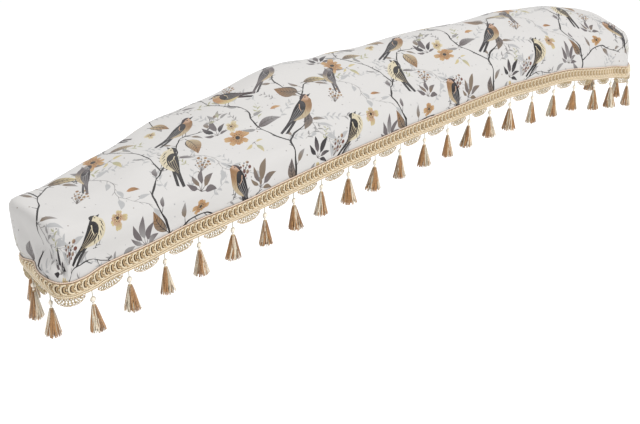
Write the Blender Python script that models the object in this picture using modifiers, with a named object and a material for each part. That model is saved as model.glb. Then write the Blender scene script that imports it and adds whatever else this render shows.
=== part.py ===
"""Fitted dust cover for a guzheng: one printed cloth, a woven braid, a lace edge and hanging tassels.

Units are metres, +Z up. X runs along the length, from the head end at -X to the tail end at +X.
Heights in the tables are above the hem's level at mid-length. The part's origin is under the top, on
the cloth's inner face, where the instrument carries it.
"""

import math

import bmesh
import bpy
import numpy as np
from mathutils import Matrix, Vector

# Sizes of the cloth
CLOTH = 0.002  # thickness
ROLL = 0.020  # radius of the edge between the top and the walls
FLARE = 0.010  # how far the hem stands outside the top's outline
SPAN_WIDE = 0.046  # spacing of the mesh along the straight sides
SPAN_CLOSE = 0.014  # spacing of the mesh at the corners
CLOSE_REACH = 0.070  # how far from a corner the close spacing goes

# Sizes of the trimming
GAP = 0.0005  # clearance between neighbouring pieces
BRAID = 0.029  # height of the woven braid
BRAID_THICK = 0.0025
LACE_GAP = 0.0009  # between the braid's lower edge and the lace
LACE_THICK = 0.0014
LACE_SHORT = 0.004  # lace at a tassel
LACE_LONG = 0.016  # lace at the middle of a fan
LACE_STEPS = 5  # mesh columns of one fan
LACE_ROUND = 0.7  # shape of a fan's lower edge: a half sine to this power
TASSEL_DROP = 0.0013  # from the lace's short places down to the tassels' cords
TASSELS = 50
FIRST_TASSEL = -0.008  # along the hem, from its start at the head end's front corner

# The top's outline: corners in order, anticlockwise seen from above, each with its rounding.
OUTLINE_COLUMNS = ("x", "y", "radius")
OUTLINE = (
    (-0.838, -0.160, 0.020),  # head end, front corner
    (0.380, -0.160, 0.900),
    (0.888, -0.208, 0.040),  # tail end, front corner
    (0.904, -0.035, 0.300),
    (0.856, 0.125, 0.060),  # tail end, back corner
    (0.100, 0.165, 1.500),
    (-0.430, 0.158, 0.400),
    (-0.822, 0.006, 0.020),  # head end, back corner
)

# Cross-sections from the head end to the tail end. The ridge is the highest line of the top, where
# the cloth lies on the slanting row of bridges.
SECTION_COLUMNS = ("x", "front", "ridge", "back", "ridge_y", "hem")
SECTIONS = (
    (-0.85, 0.104, 0.116, 0.113, -0.050, -0.004),
    (-0.76, 0.093, 0.110, 0.107, -0.040, -0.003),
    (-0.65, 0.087, 0.107, 0.100, -0.030, 0.000),
    (-0.45, 0.086, 0.105, 0.085, 0.000, 0.004),
    (-0.25, 0.088, 0.117, 0.102, 0.060, 0.008),
    (-0.12, 0.088, 0.126, 0.119, 0.110, 0.009),
    (0.05, 0.088, 0.123, 0.106, 0.090, 0.010),
    (0.25, 0.085, 0.121, 0.091, 0.040, 0.006),
    (0.45, 0.080, 0.120, 0.084, 0.000, -0.001),
    (0.62, 0.072, 0.118, 0.074, -0.025, -0.012),
    (0.75, 0.058, 0.107, 0.060, -0.035, -0.037),
    (0.90, 0.038, 0.078, 0.033, -0.035, -0.067),
)
CROWN_POWER = 1.8  # how the top falls from the ridge to its edges
CROWN_REACH = 1.2  # the fall goes on this far past an edge, in widths from the ridge
SIDE_FACING = 0.3  # the least y of a direction out of the outline's front or back side

# Corners of the hem that lean or hang on their own.
CORNER_COLUMNS = ("x", "y", "reach", "lean", "drop")
CORNERS = (
    (-0.822, 0.006, 0.070, -0.019, 0.015),
    (-0.838, -0.160, 0.050, 0.000, 0.004),
    (0.888, -0.208, 0.060, 0.002, 0.000),
    (0.856, 0.125, 0.060, 0.002, 0.004),
)

# Soft folds of the walls. Each stands out (or sinks in, if negative) at the wall point nearest to
# x, y, leans along the wall by shift on its way up, and fades out between its foot and its head,
# which are shares of the wall's height.
FOLD_COLUMNS = ("x", "y", "width", "depth", "shift", "foot", "head")
FOLDS = (
    (-0.838, -0.120, 0.030, 0.0060, 0.050, 0.30, 0.95),
    (-0.834, -0.070, 0.022, -0.0065, 0.060, 0.30, 0.90),
    (-0.828, -0.030, 0.022, 0.0050, 0.030, 0.30, 0.85),
    (-0.800, -0.160, 0.024, 0.0045, -0.030, 0.05, 0.80),
    (-0.740, -0.160, 0.050, -0.0040, 0.040, 0.15, 0.95),
    (-0.560, -0.160, 0.060, -0.0050, 0.060, 0.10, 1.00),
    (-0.430, -0.160, 0.060, 0.0035, -0.050, 0.10, 1.00),
    (-0.160, -0.160, 0.080, -0.0030, 0.060, 0.10, 1.00),
    (0.130, -0.160, 0.080, 0.0030, -0.050, 0.10, 1.00),
    (0.430, -0.163, 0.080, -0.0035, 0.050, 0.10, 1.00),
    (0.700, -0.190, 0.060, 0.0040, -0.030, 0.05, 0.95),
    (0.800, -0.200, 0.022, -0.0035, 0.020, 0.00, 0.85),
    (0.840, -0.204, 0.016, 0.0045, 0.012, 0.00, 0.90),
    (0.868, -0.204, 0.012, -0.0040, 0.006, 0.00, 0.85),
    (0.884, -0.160, 0.018, 0.0045, -0.006, 0.00, 0.90),
    (0.888, -0.110, 0.022, -0.0040, -0.010, 0.05, 0.85),
    (0.888, 0.000, 0.040, 0.0040, 0.010, 0.05, 0.90),
    (0.862, 0.090, 0.024, -0.0040, 0.010, 0.00, 0.85),
    (0.820, 0.130, 0.022, 0.0045, -0.012, 0.00, 0.90),
    (0.560, 0.140, 0.080, -0.0040, 0.060, 0.10, 1.00),
    (0.200, 0.160, 0.090, 0.0040, -0.060, 0.10, 1.00),
    (-0.150, 0.160, 0.080, -0.0040, 0.060, 0.10, 1.00),
    (-0.440, 0.150, 0.070, 0.0040, -0.040, 0.10, 1.00),
    (-0.700, 0.060, 0.050, -0.0050, 0.050, 0.05, 1.00),
)
FADE_FOOT = 0.30  # share of the wall's height over which a fold grows at its foot
FADE_HEAD = 0.35  # and over which it dies away at its head

# Rings of the cloth's mesh
WALL_RINGS = (0.5, 1.0)  # shares of the wall above the braid, up to the rolled edge
ROLL_RINGS = (30.0, 60.0, 90.0)  # degrees round the rolled edge
TOP_RINGS = (0.82, 0.58, 0.34, 0.12)  # shares of the way from the middle line to the edge
MIDDLE_END = 0.14  # the middle line stops this far from each end
SMOOTH_ANGLE = math.radians(40)  # edges bent more than this are drawn sharp

# One tassel, down from the lace: its turned head, and the locks of its skirt
HEAD_COLUMNS = ("depth", "radius")
HEAD = (
    (0.0000, 0.0011),  # cord
    (0.0080, 0.0011),
    (0.0120, 0.0036),  # bead
    (0.0163, 0.0014),
    (0.0188, 0.0024),  # knot
    (0.0212, 0.0016),
    (0.0310, 0.0056),  # cap
)
HEAD_SIDES = 6
LOCKS = 5
LOCK_DEPTH = 0.0285  # depth of the locks' roots, inside the cap
LOCK_ROOT_AWAY = 0.0023  # distance of a lock's middle from the axis at its root
LOCK_ROOT_RADIUS = 0.0012
LOCK_END_RADIUS = 0.0050
LOCK_UNEVEN = 0.05  # share of its length by which a lock is longer or shorter
LOCK_STEP = 2.3  # how far the unevenness moves on from lock to lock, in radians
TASSEL_COLUMNS = ("length", "spread", "swing")
TASSEL_KINDS = (
    (0.0730, 0.0100, 0.00),
    (0.0710, 0.0112, 0.10),
    (0.0745, 0.0090, -0.12),
    (0.0700, 0.0118, 0.06),
    (0.0735, 0.0104, -0.16),
)

COLOURS = {
    "printed_cloth": ((0.80, 0.79, 0.80, 1.0), 0.55),
    "braid": ((0.72, 0.58, 0.38, 1.0), 0.70),
    "lace": ((0.66, 0.56, 0.40, 1.0), 0.75),
    "tassel": ((0.62, 0.47, 0.28, 1.0), 0.65),
}

# Where the mesh's columns stand closer together
CLOSE_XY = ((-0.838, -0.160), (-0.830, -0.080), (-0.822, 0.006), (0.888, -0.208), (0.856, 0.125))
LINE_STEP = 0.003  # spacing of the points that stand for the outline
NORMAL_STEP = 0.008  # the outline's direction is taken over this far to each side
MERGE = 0.0001
TRIM_MIDDLE = GAP + BRAID_THICK / 2  # how far the trimming's middle is outside the cloth
TASSEL_TURN = 1.9  # radians from each tassel to the next


def column(table, names, name):
    return np.array([row[names.index(name)] for row in table])


def smooth(x, xs, ys):
    """Values of ys between the stations xs, on a smooth curve through them."""
    x = np.clip(x, xs[0], xs[-1])
    slope = np.gradient(ys, xs)
    i = np.clip(np.searchsorted(xs, x) - 1, 0, len(xs) - 2)
    h = xs[i + 1] - xs[i]
    t = (x - xs[i]) / h
    start = (2 * t**3 - 3 * t**2 + 1) * ys[i] + (t**3 - 2 * t**2 + t) * h * slope[i]
    end = (3 * t**2 - 2 * t**3) * ys[i + 1] + (t**3 - t**2) * h * slope[i + 1]
    return start + end


def section(name, x):
    xs = column(SECTIONS, SECTION_COLUMNS, "x")
    return smooth(x, xs, column(SECTIONS, SECTION_COLUMNS, name))


def fillet(before, corner, after, radius):
    """Points of the arc that rounds one corner of the outline."""
    u = (before - corner) / np.linalg.norm(before - corner)
    v = (after - corner) / np.linalg.norm(after - corner)
    half = math.acos(float(u @ v)) / 2
    start = corner + u * radius / math.tan(half)
    end = corner + v * radius / math.tan(half)
    centre = corner + (u + v) / np.linalg.norm(u + v) * radius / math.sin(half)
    first = math.atan2(*(start - centre)[::-1])
    turn = math.atan2(*(end - centre)[::-1]) - first
    turn = (turn + math.pi) % (2 * math.pi) - math.pi
    count = max(2, math.ceil(radius * abs(turn) / LINE_STEP))
    angles = np.linspace(first, first + turn, count + 1)
    return centre + radius * np.stack([np.cos(angles), np.sin(angles)], -1)


def outline():
    """The top's outline as close points, and the distance along it of each point."""
    corners = np.array([row[:2] for row in OUTLINE])
    radii = column(OUTLINE, OUTLINE_COLUMNS, "radius")
    count = len(corners)
    arcs = [fillet(corners[k - 1], corners[k], corners[(k + 1) % count], radii[k]) for k in range(count)]
    rough = np.vstack(arcs + [arcs[0][:1]])
    length = np.linalg.norm(np.diff(rough, axis=0), axis=1)
    apart = length > 0
    rough = rough[np.r_[True, apart]]
    along = np.r_[0, np.cumsum(length[apart])]
    even = np.linspace(0, along[-1], math.ceil(along[-1] / LINE_STEP))
    points = np.stack([np.interp(even, along, rough[:, k]) for k in range(2)], -1)
    return points, even


LINE, ALONG = outline()
PERIMETER = ALONG[-1]


def on_outline(a):
    a = np.mod(a, PERIMETER)
    return np.stack([np.interp(a, ALONG, LINE[:, k]) for k in range(2)], -1)


def outward(a):
    """The horizontal direction that points out of the outline at the distance a along it."""
    t = on_outline(a + NORMAL_STEP) - on_outline(a - NORMAL_STEP)
    t /= np.linalg.norm(t, axis=-1, keepdims=True)
    return np.stack([t[..., 1], -t[..., 0]], -1)


def nearest_along(x, y):
    return ALONG[np.argmin((LINE[:, 0] - x) ** 2 + (LINE[:, 1] - y) ** 2)]


def side_y(x, front):
    """The outline's y at x, on its front or its back side."""
    facing = outward(ALONG)[:, 1]
    side = LINE[facing < -SIDE_FACING] if front else LINE[facing > SIDE_FACING]
    side = side[np.argsort(side[:, 0])]
    return np.interp(x, side[:, 0], side[:, 1])


def top_height(x, y):
    """Height of the top, with no rolled edge: an arch that falls from the ridge to both sides."""
    ridge = section("ridge", x)
    ridge_y = section("ridge_y", x)
    to_front = np.clip((ridge_y - y) / (ridge_y - side_y(x, True)), 0, CROWN_REACH)
    to_back = np.clip((y - ridge_y) / (side_y(x, False) - ridge_y), 0, CROWN_REACH)
    fall_front = (ridge - section("front", x)) * to_front**CROWN_POWER
    fall_back = (ridge - section("back", x)) * to_back**CROWN_POWER
    return ridge - fall_front - fall_back


def near_corner(p, name):
    """What the hem's corners add at the outline point p: a sum of soft bumps."""
    total = 0.0
    for row in CORNERS:
        x, y, reach = row[:3]
        r2 = (p[..., 0] - x) ** 2 + (p[..., 1] - y) ** 2
        total = total + row[CORNER_COLUMNS.index(name)] * np.exp(-r2 / reach**2)
    return total


def hem_height(p):
    return section("hem", p[..., 0]) - near_corner(p, "drop")


def fade(t, foot, head):
    """0 below the foot and above the head, 1 between them, with soft ends."""
    rise = np.clip((t - foot) / FADE_FOOT + 1, 0, 1)
    fall = np.clip((head - t) / FADE_HEAD, 0, 1)
    return rise**2 * (3 - 2 * rise) * fall**2 * (3 - 2 * fall)


def around(distance):
    """The shorter way round the outline: a distance along it, brought to between plus and minus half."""
    return (distance + PERIMETER / 2) % PERIMETER - PERIMETER / 2


def folds(a, t):
    """How far the wall's folds stand out at the distance a along the outline, height share t."""
    total = np.zeros(np.broadcast(a, t).shape)
    for x, y, width, depth, shift, foot, head in FOLDS:
        away = around(a - nearest_along(x, y) - shift * (t - 0.5))
        total += depth * np.exp(-((away / width) ** 2)) * fade(t, foot, head)
    return total


def wall(a, z):
    """Point of the cloth's outer face on the wall, at the height z."""
    p = on_outline(a)
    hem = hem_height(p)
    share = (z - hem) / (top_height(p[..., 0], p[..., 1]) - ROLL - hem)
    lean = (FLARE + near_corner(p, "lean")) * (1 - np.clip(share, 0, 1))
    out = lean + folds(a, np.clip(share, 0, 1))
    xy = p + outward(a) * out[..., None]
    return np.concatenate([xy, z[..., None]], -1)


def rolled_edge(a, angle):
    p = on_outline(a) - outward(a) * ROLL * (1 - math.cos(angle))
    z = top_height(p[..., 0], p[..., 1]) - ROLL * (1 - math.sin(angle))
    return np.concatenate([p, z[..., None]], -1)


def middle_line(x):
    """The point of the top's middle line that an outline point at x runs to."""
    xs = column(OUTLINE, OUTLINE_COLUMNS, "x")
    x = np.clip(x, xs.min() + MIDDLE_END, xs.max() - MIDDLE_END)
    return np.stack([x, (side_y(x, True) + side_y(x, False)) / 2], -1)


def top_ring(a, share):
    edge = on_outline(a) - outward(a) * ROLL
    middle = middle_line(edge[..., 0])
    p = middle + (edge - middle) * share
    return np.concatenate([p, top_height(p[..., 0], p[..., 1])[..., None]], -1)


def stations():
    """Distances along the outline of the mesh's columns, closer together round the corners."""
    close = [nearest_along(x, y) for x, y in CLOSE_XY]
    away = np.min([np.abs(around(ALONG - c)) for c in close], axis=0)
    spacing = SPAN_WIDE - (SPAN_WIDE - SPAN_CLOSE) * np.exp(-((away / CLOSE_REACH) ** 2))
    count = np.r_[0, np.cumsum(np.diff(ALONG) / ((spacing[1:] + spacing[:-1]) / 2))]
    columns = round(count[-1])
    return np.interp(np.arange(columns) * count[-1] / columns, count, ALONG)


COLUMNS = stations()
# The part's origin is on the cloth's inner face under the middle of the top.
LIFT = CLOTH - float(top_height(np.array(0.0), np.array(0.0)))


def material(name):
    colour, roughness = COLOURS[name]
    made = bpy.data.materials.new(name)
    made.use_nodes = True
    shader = made.node_tree.nodes["Principled BSDF"]
    shader.inputs["Base Color"].default_value = colour
    shader.inputs["Roughness"].default_value = roughness
    shader.inputs["Metallic"].default_value = 0.0
    made.diffuse_color = colour
    return made


def part_object(name, mesh, surface, home):
    mesh.shade_smooth()
    mesh.set_sharp_from_angle(angle=SMOOTH_ANGLE)
    mesh.materials.clear()
    mesh.materials.append(surface)
    made = bpy.data.objects.new(name, mesh)
    home.objects.link(made)
    return made


def skin(bm, rings):
    """Faces between neighbouring closed rings of points, all split the same way. Returns the last ring."""
    rows = [[bm.verts.new(co) for co in ring + (0, 0, LIFT)] for ring in rings]
    for lower, upper in zip(rows[:-1], rows[1:]):
        for j in range(len(lower)):
            k = (j + 1) % len(lower)
            bm.faces.new((lower[j], lower[k], upper[k]))
            bm.faces.new((lower[j], upper[k], upper[j]))
    return rows[-1]


def shell(name, rings, thickness, side, surface, home, covered=False):
    """A sheet through closed rings of points, thickened inward (side -1) or outward (side 1)."""
    bm = bmesh.new()
    last = skin(bm, rings)
    if covered:
        rim = [bm.edges.get((last[j - 1], last[j])) for j in range(len(last))]
        bmesh.ops.triangle_fill(bm, use_beauty=True, edges=rim)
    bmesh.ops.recalc_face_normals(bm, faces=bm.faces)
    if sum((face.normal @ face.calc_center_median().xy.to_3d()) for face in bm.faces) < 0:
        bmesh.ops.reverse_faces(bm, faces=bm.faces)
    mesh = bpy.data.meshes.new(name)
    bm.to_mesh(mesh)
    bm.free()
    made = part_object(name, mesh, surface, home)
    sheet = made.modifiers.new("thickness", "SOLIDIFY")
    sheet.thickness = thickness
    sheet.offset = side
    sheet.use_even_offset = True
    return made


def hem_rings():
    """The cloth's outer face at the braid's lower edge, its middle and its upper edge."""
    hem = hem_height(on_outline(COLUMNS))
    return [wall(COLUMNS, hem + BRAID * share) for share in (0.0, 0.5, 1.0)]


def ring_outward(ring):
    """Horizontal directions out of a closed ring, square to the line between each point's neighbours."""
    t = np.roll(ring, -1, axis=0) - np.roll(ring, 1, axis=0)
    out = np.stack([t[:, 1], -t[:, 0], np.zeros(len(t))], -1)
    return out / np.linalg.norm(out, axis=1, keepdims=True)


def cloth_rings():
    """Rings of the cloth's outer face, from the hem up and in to the middle line."""
    rings = hem_rings()
    braid_top = rings[-1][:, 2]
    wall_top = top_height(*on_outline(COLUMNS).T) - ROLL
    for share in WALL_RINGS:
        rings.append(wall(COLUMNS, braid_top + (wall_top - braid_top) * share))
    rings += [rolled_edge(COLUMNS, math.radians(angle)) for angle in ROLL_RINGS]
    rings += [top_ring(COLUMNS, share) for share in TOP_RINGS]
    return rings


def make_cloth(surface, home):
    """The printed cloth: one shell, open below, from the hem over the top."""
    shell("cover_cloth", cloth_rings(), CLOTH, -1, surface, home, covered=True)


def on_hem(turn):
    """Points of the cloth's hem and directions out of it, where turn counts tassels from the first."""
    points = hem_rings()[0]
    out = ring_outward(points)
    points = np.vstack([points, points[:1]])
    out = np.vstack([out, out[:1]])
    along = np.r_[0, np.cumsum(np.linalg.norm(np.diff(points, axis=0), axis=1))]
    a = (FIRST_TASSEL + turn * along[-1] / TASSELS) % along[-1]
    return [np.stack([np.interp(a, along, row) for row in table.T], -1) for table in (points, out)]


def make_braid(surface, home):
    """The woven braid round the hem, just outside the cloth and following its folds."""
    rings = [ring + ring_outward(ring) * GAP for ring in hem_rings()]
    shell("braid", rings, BRAID_THICK, 1, surface, home)


def lace_depth(turn):
    """Depth of the lace where turn counts tassels: short at each tassel, long between two."""
    fan = np.abs(np.sin(math.pi * turn))
    return LACE_SHORT + (LACE_LONG - LACE_SHORT) * fan**LACE_ROUND


def make_lace(surface, home):
    """The row of lace fans under the braid, scalloped from tassel to tassel."""
    turn = np.arange(TASSELS * LACE_STEPS) / LACE_STEPS
    hem, out = on_hem(turn)
    inner = hem + out * (TRIM_MIDDLE - LACE_THICK / 2)
    low = inner - np.outer(lace_depth(turn), (0, 0, 1))
    shell("lace", [low, inner - (0, 0, LACE_GAP)], LACE_THICK, 1, surface, home)


def helper(name, mesh):
    """An object that only lends its shape to another."""
    made = bpy.data.objects.new(name, mesh)
    made.hide_render = True
    made.display_type = "WIRE"
    bpy.context.scene.collection.objects.link(made)
    return made


def turned_head():
    """A tassel's cord, bead and cap: its profile, turned round Z."""
    depths = column(HEAD, HEAD_COLUMNS, "depth")
    radii = column(HEAD, HEAD_COLUMNS, "radius")
    profile = [(0, 0, -depths[0])]
    profile += [(radius, 0, -depth) for depth, radius in zip(depths, radii)]
    profile.append((0, 0, -depths[-1]))
    mesh = bpy.data.meshes.new("head_profile")
    mesh.from_pydata(profile, [(k, k + 1) for k in range(len(profile) - 1)], [])
    head = helper("head", mesh)
    turn = head.modifiers.new("turn", "SCREW")
    turn.steps = HEAD_SIDES
    turn.render_steps = HEAD_SIDES
    turn.use_merge_vertices = True
    turn.merge_threshold = MERGE
    return head


def skirt(kind):
    """The three-sided locks of yarn of one kind of tassel, from inside its cap down and out."""
    length, spread, swing = TASSEL_KINDS[kind]
    bm = bmesh.new()
    for k in range(LOCKS):
        turn = 2 * math.pi * k / LOCKS
        uneven = 1 + LOCK_UNEVEN * math.sin(LOCK_STEP * k + kind)
        root = Vector((LOCK_ROOT_AWAY, 0, -LOCK_DEPTH))
        end = Vector((spread * (1 + swing * math.cos(turn)), 0, -length * uneven))
        lean = root - end
        place = (
            Matrix.Rotation(turn, 4, "Z")
            @ Matrix.Translation((root + end) / 2)
            @ lean.to_track_quat("Z", "Y").to_matrix().to_4x4()
        )
        bmesh.ops.create_cone(
            bm,
            cap_ends=True,
            segments=3,
            radius1=LOCK_END_RADIUS,
            radius2=LOCK_ROOT_RADIUS,
            depth=lean.length,
            matrix=place,
        )
    mesh = bpy.data.meshes.new("skirt")
    bm.to_mesh(mesh)
    bm.free()
    return helper("skirt", mesh)


def tassel_mesh(kind):
    """The mesh of one kind of tassel: its head with the locks rooted in it."""
    head = turned_head()
    locks = skirt(kind)
    union = head.modifiers.new("roots", "BOOLEAN")
    union.operation = "UNION"
    union.object = locks
    graph = bpy.context.evaluated_depsgraph_get()
    mesh = bpy.data.meshes.new_from_object(head.evaluated_get(graph))
    for done in (head, locks):
        bpy.data.objects.remove(done)
    return mesh


def make_tassels(surface, home):
    """The tassels, hanging plumb from the lace between its fans."""
    meshes = [tassel_mesh(kind) for kind in range(len(TASSEL_KINDS))]
    hem, out = on_hem(np.arange(TASSELS))
    tops = hem + out * TRIM_MIDDLE + (0, 0, LIFT - LACE_SHORT - TASSEL_DROP)
    for k in range(TASSELS):
        kind = (3 * k + k // 4) % len(meshes)
        tassel = part_object(f"tassel_{k + 1:02d}", meshes[kind], surface, home)
        tassel.location = tops[k]
        tassel.rotation_euler = (0, 0, TASSEL_TURN * k)


def main():
    for obj in list(bpy.data.objects):
        bpy.data.objects.remove(obj)
    home = bpy.data.collections.new("guzheng_dust_cover")
    bpy.context.scene.collection.children.link(home)
    make_cloth(material("printed_cloth"), home)
    make_braid(material("braid"), home)
    make_lace(material("lace"), home)
    make_tassels(material("tassel"), home)


main()
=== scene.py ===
"""Looks of the guzheng dust cover: printed cloth, woven braid, lace fans, pearl beads and yarn tassels.

Units are metres, +Z up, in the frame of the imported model. Flat places on the cloth are u, v: over the
top they are the same as x, y, and past its edge they run on down the wall, square to the outline.
"""

import math

import bpy
import numpy as np
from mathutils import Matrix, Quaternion, Vector
from mathutils.geometry import delaunay_2d_cdt
from mathutils.kdtree import KDTree


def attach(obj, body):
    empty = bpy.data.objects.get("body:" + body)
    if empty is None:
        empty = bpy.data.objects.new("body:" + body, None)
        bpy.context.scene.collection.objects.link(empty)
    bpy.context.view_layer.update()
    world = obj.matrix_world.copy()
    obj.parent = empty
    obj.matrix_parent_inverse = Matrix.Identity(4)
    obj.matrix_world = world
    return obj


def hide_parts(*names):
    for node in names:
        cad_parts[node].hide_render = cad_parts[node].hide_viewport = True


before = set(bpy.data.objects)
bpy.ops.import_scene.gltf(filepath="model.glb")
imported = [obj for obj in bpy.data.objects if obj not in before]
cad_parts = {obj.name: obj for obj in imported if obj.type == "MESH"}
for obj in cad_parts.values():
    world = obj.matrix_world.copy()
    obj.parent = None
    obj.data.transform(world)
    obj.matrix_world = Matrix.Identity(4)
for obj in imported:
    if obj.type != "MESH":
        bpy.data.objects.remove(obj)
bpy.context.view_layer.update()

# Sizes of the cover, as in the part's source
ROLL = 0.020
FLARE = 0.010
BRAID = 0.029
GAP = 0.0005
LACE_SHORT = 0.004
LACE_LONG = 0.016
TASSEL_DROP = 0.0013
TASSELS = 50
FIRST_TASSEL = -0.008
TRIM_MIDDLE = 0.00175  # how far the lace's and tassels' middle is outside the cloth
CLOTH = 0.002
LINE_STEP = 0.003
NORMAL_STEP = 0.008

RANDOM = np.random.default_rng(50)
TINY = 1e-9  # the least length that is divided by

OUTLINE_COLUMNS = ("x", "y", "radius")
OUTLINE = (
    (-0.838, -0.16, 0.02),
    (0.38, -0.16, 0.9),
    (0.888, -0.208, 0.04),
    (0.904, -0.035, 0.3),
    (0.856, 0.125, 0.06),
    (0.1, 0.165, 1.5),
    (-0.43, 0.158, 0.4),
    (-0.822, 0.006, 0.02),
)
SECTION_COLUMNS = ("x", "front", "ridge", "back", "ridge_y", "hem")
SECTIONS = (
    (-0.85, 0.104, 0.116, 0.113, -0.05, -0.004),
    (-0.76, 0.093, 0.11, 0.107, -0.04, -0.003),
    (-0.65, 0.087, 0.107, 0.1, -0.03, 0.000),
    (-0.45, 0.086, 0.105, 0.085, 0.000, 0.004),
    (-0.25, 0.088, 0.117, 0.102, 0.06, 0.008),
    (-0.12, 0.088, 0.126, 0.119, 0.11, 0.009),
    (0.05, 0.088, 0.123, 0.106, 0.09, 0.01),
    (0.25, 0.085, 0.121, 0.091, 0.04, 0.006),
    (0.45, 0.08, 0.12, 0.084, 0.000, -0.001),
    (0.62, 0.072, 0.118, 0.074, -0.025, -0.012),
    (0.75, 0.058, 0.107, 0.06, -0.035, -0.037),
    (0.9, 0.038, 0.078, 0.033, -0.035, -0.067),
)
CROWN_POWER = 1.8
CROWN_REACH = 1.2
SIDE_FACING = 0.3
CORNER_COLUMNS = ("x", "y", "reach", "lean", "drop")
CORNERS = (
    (-0.822, 0.006, 0.07, -0.019, 0.015),
    (-0.838, -0.16, 0.05, 0.000, 0.004),
    (0.888, -0.208, 0.06, 0.002, 0.000),
    (0.856, 0.125, 0.06, 0.002, 0.004),
)
# Columns: x, y, width, depth, shift, foot, head
FOLDS = (
    (-0.838, -0.12, 0.03, 0.006, 0.05, 0.3, 0.95),
    (-0.834, -0.07, 0.022, -0.0065, 0.06, 0.3, 0.9),
    (-0.828, -0.03, 0.022, 0.005, 0.03, 0.3, 0.85),
    (-0.8, -0.16, 0.024, 0.0045, -0.03, 0.05, 0.8),
    (-0.74, -0.16, 0.05, -0.004, 0.04, 0.15, 0.95),
    (-0.56, -0.16, 0.06, -0.005, 0.06, 0.1, 1.00),
    (-0.43, -0.16, 0.06, 0.0035, -0.05, 0.1, 1.00),
    (-0.16, -0.16, 0.08, -0.003, 0.06, 0.1, 1.00),
    (0.13, -0.16, 0.08, 0.003, -0.05, 0.1, 1.00),
    (0.43, -0.163, 0.08, -0.0035, 0.05, 0.1, 1.00),
    (0.7, -0.19, 0.06, 0.004, -0.03, 0.05, 0.95),
    (0.8, -0.2, 0.022, -0.0035, 0.02, 0.00, 0.85),
    (0.84, -0.204, 0.016, 0.0045, 0.012, 0.00, 0.9),
    (0.868, -0.204, 0.012, -0.004, 0.006, 0.00, 0.85),
    (0.884, -0.16, 0.018, 0.0045, -0.006, 0.00, 0.9),
    (0.888, -0.11, 0.022, -0.004, -0.01, 0.05, 0.85),
    (0.888, 0.000, 0.04, 0.004, 0.01, 0.05, 0.9),
    (0.862, 0.09, 0.024, -0.004, 0.01, 0.00, 0.85),
    (0.82, 0.13, 0.022, 0.0045, -0.012, 0.00, 0.9),
    (0.56, 0.14, 0.08, -0.004, 0.06, 0.1, 1.00),
    (0.2, 0.16, 0.09, 0.004, -0.06, 0.1, 1.00),
    (-0.15, 0.16, 0.08, -0.004, 0.06, 0.1, 1.00),
    (-0.44, 0.15, 0.07, 0.004, -0.04, 0.1, 1.00),
    (-0.7, 0.06, 0.05, -0.005, 0.05, 0.05, 1.00),
)
FADE_FOOT = 0.30
FADE_HEAD = 0.35

# Fine creases of the cloth, at a flat place: height is out of the cloth, or into it if negative.
# Each is a soft ridge of a half length and a half width along its angle, bent like a bow.
# Columns: u, v, angle, length, width, height, bow
CREASES = (
    (-0.905, -0.195, 40, 0.08, 0.01, 0.005, 3.0),
    (-0.89, -0.215, 44, 0.075, 0.009, -0.005, 3.0),
    (-0.865, -0.232, 56, 0.06, 0.009, 0.004, 3.0),
    (-0.845, -0.238, 66, 0.055, 0.009, -0.004, -3.0),
    (-0.815, -0.232, 78, 0.05, 0.009, 0.0022, 4.0),
    (-0.78, -0.225, 98, 0.045, 0.01, -0.0022, 4.0),
    (-0.872, -0.15, 86, 0.075, 0.017, -0.0095, 1.0),
    (-0.9, -0.12, 80, 0.06, 0.013, 0.005, 1.0),
    (-0.915, -0.12, 24, 0.05, 0.009, 0.003, 4.0),
    (-0.905, -0.07, 12, 0.05, 0.008, -0.0028, -5.0),
    (-0.905, -0.025, -10, 0.045, 0.008, 0.0024, -4.0),
    (-0.78, -0.12, 28, 0.1, 0.016, -0.0012, 2.0),
    (-0.7, -0.06, 15, 0.12, 0.02, 0.0012, 1.5),
    (-0.56, -0.215, 40, 0.06, 0.014, -0.0048, 3.0),
    (-0.515, -0.222, 24, 0.05, 0.011, 0.0036, -3.0),
    (-0.38, -0.2, 152, 0.07, 0.014, 0.0014, 2.0),
    (-0.24, -0.21, 30, 0.07, 0.014, -0.0014, 2.0),
    (-0.3, 0.02, 24, 0.16, 0.03, -0.0014, 0.8),
    (-0.1, -0.06, 12, 0.18, 0.026, 0.0012, 0.8),
    (0.02, -0.205, 160, 0.08, 0.014, -0.0014, 2.0),
    (0.14, 0.06, -20, 0.15, 0.03, -0.0014, 0.8),
    (0.3, -0.21, 28, 0.08, 0.014, 0.0012, 2.0),
    (0.34, 0.02, -14, 0.16, 0.026, 0.0012, 0.8),
    (0.56, -0.07, -24, 0.14, 0.022, -0.0012, 1.0),
    (0.62, -0.225, 32, 0.06, 0.012, -0.0014, 2.0),
    (0.78, -0.12, -40, 0.09, 0.016, 0.0012, 1.5),
    (0.8, -0.255, 104, 0.045, 0.011, 0.005, 2.0),
    (0.845, -0.25, 96, 0.045, 0.008, -0.0046, 2.0),
    (0.872, -0.25, 84, 0.045, 0.007, 0.0044, -2.0),
    (0.912, -0.232, 50, 0.05, 0.007, -0.0046, 2.0),
    (0.933, -0.19, 10, 0.05, 0.008, 0.0046, 3.0),
    (0.93, -0.06, 4, 0.04, 0.009, 0.0014, 3.0),
    (0.9, 0.12, 40, 0.04, 0.008, -0.0018, 3.0),
    (-0.6, 0.17, -30, 0.06, 0.014, -0.0014, 2.0),
    (-0.25, 0.21, 24, 0.07, 0.014, 0.0014, 2.0),
    (0.25, 0.21, -20, 0.08, 0.014, -0.0014, 2.0),
    (0.6, 0.19, 30, 0.07, 0.014, 0.0014, 2.0),
)
# Long slack waves over the whole cloth
# Columns: length, angle, height
WAVES = ((0.31, 63, 0.0024), (0.17, 112, 0.0014), (0.47, 20, 0.0024), (0.1, 78, 0.0006))

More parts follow.
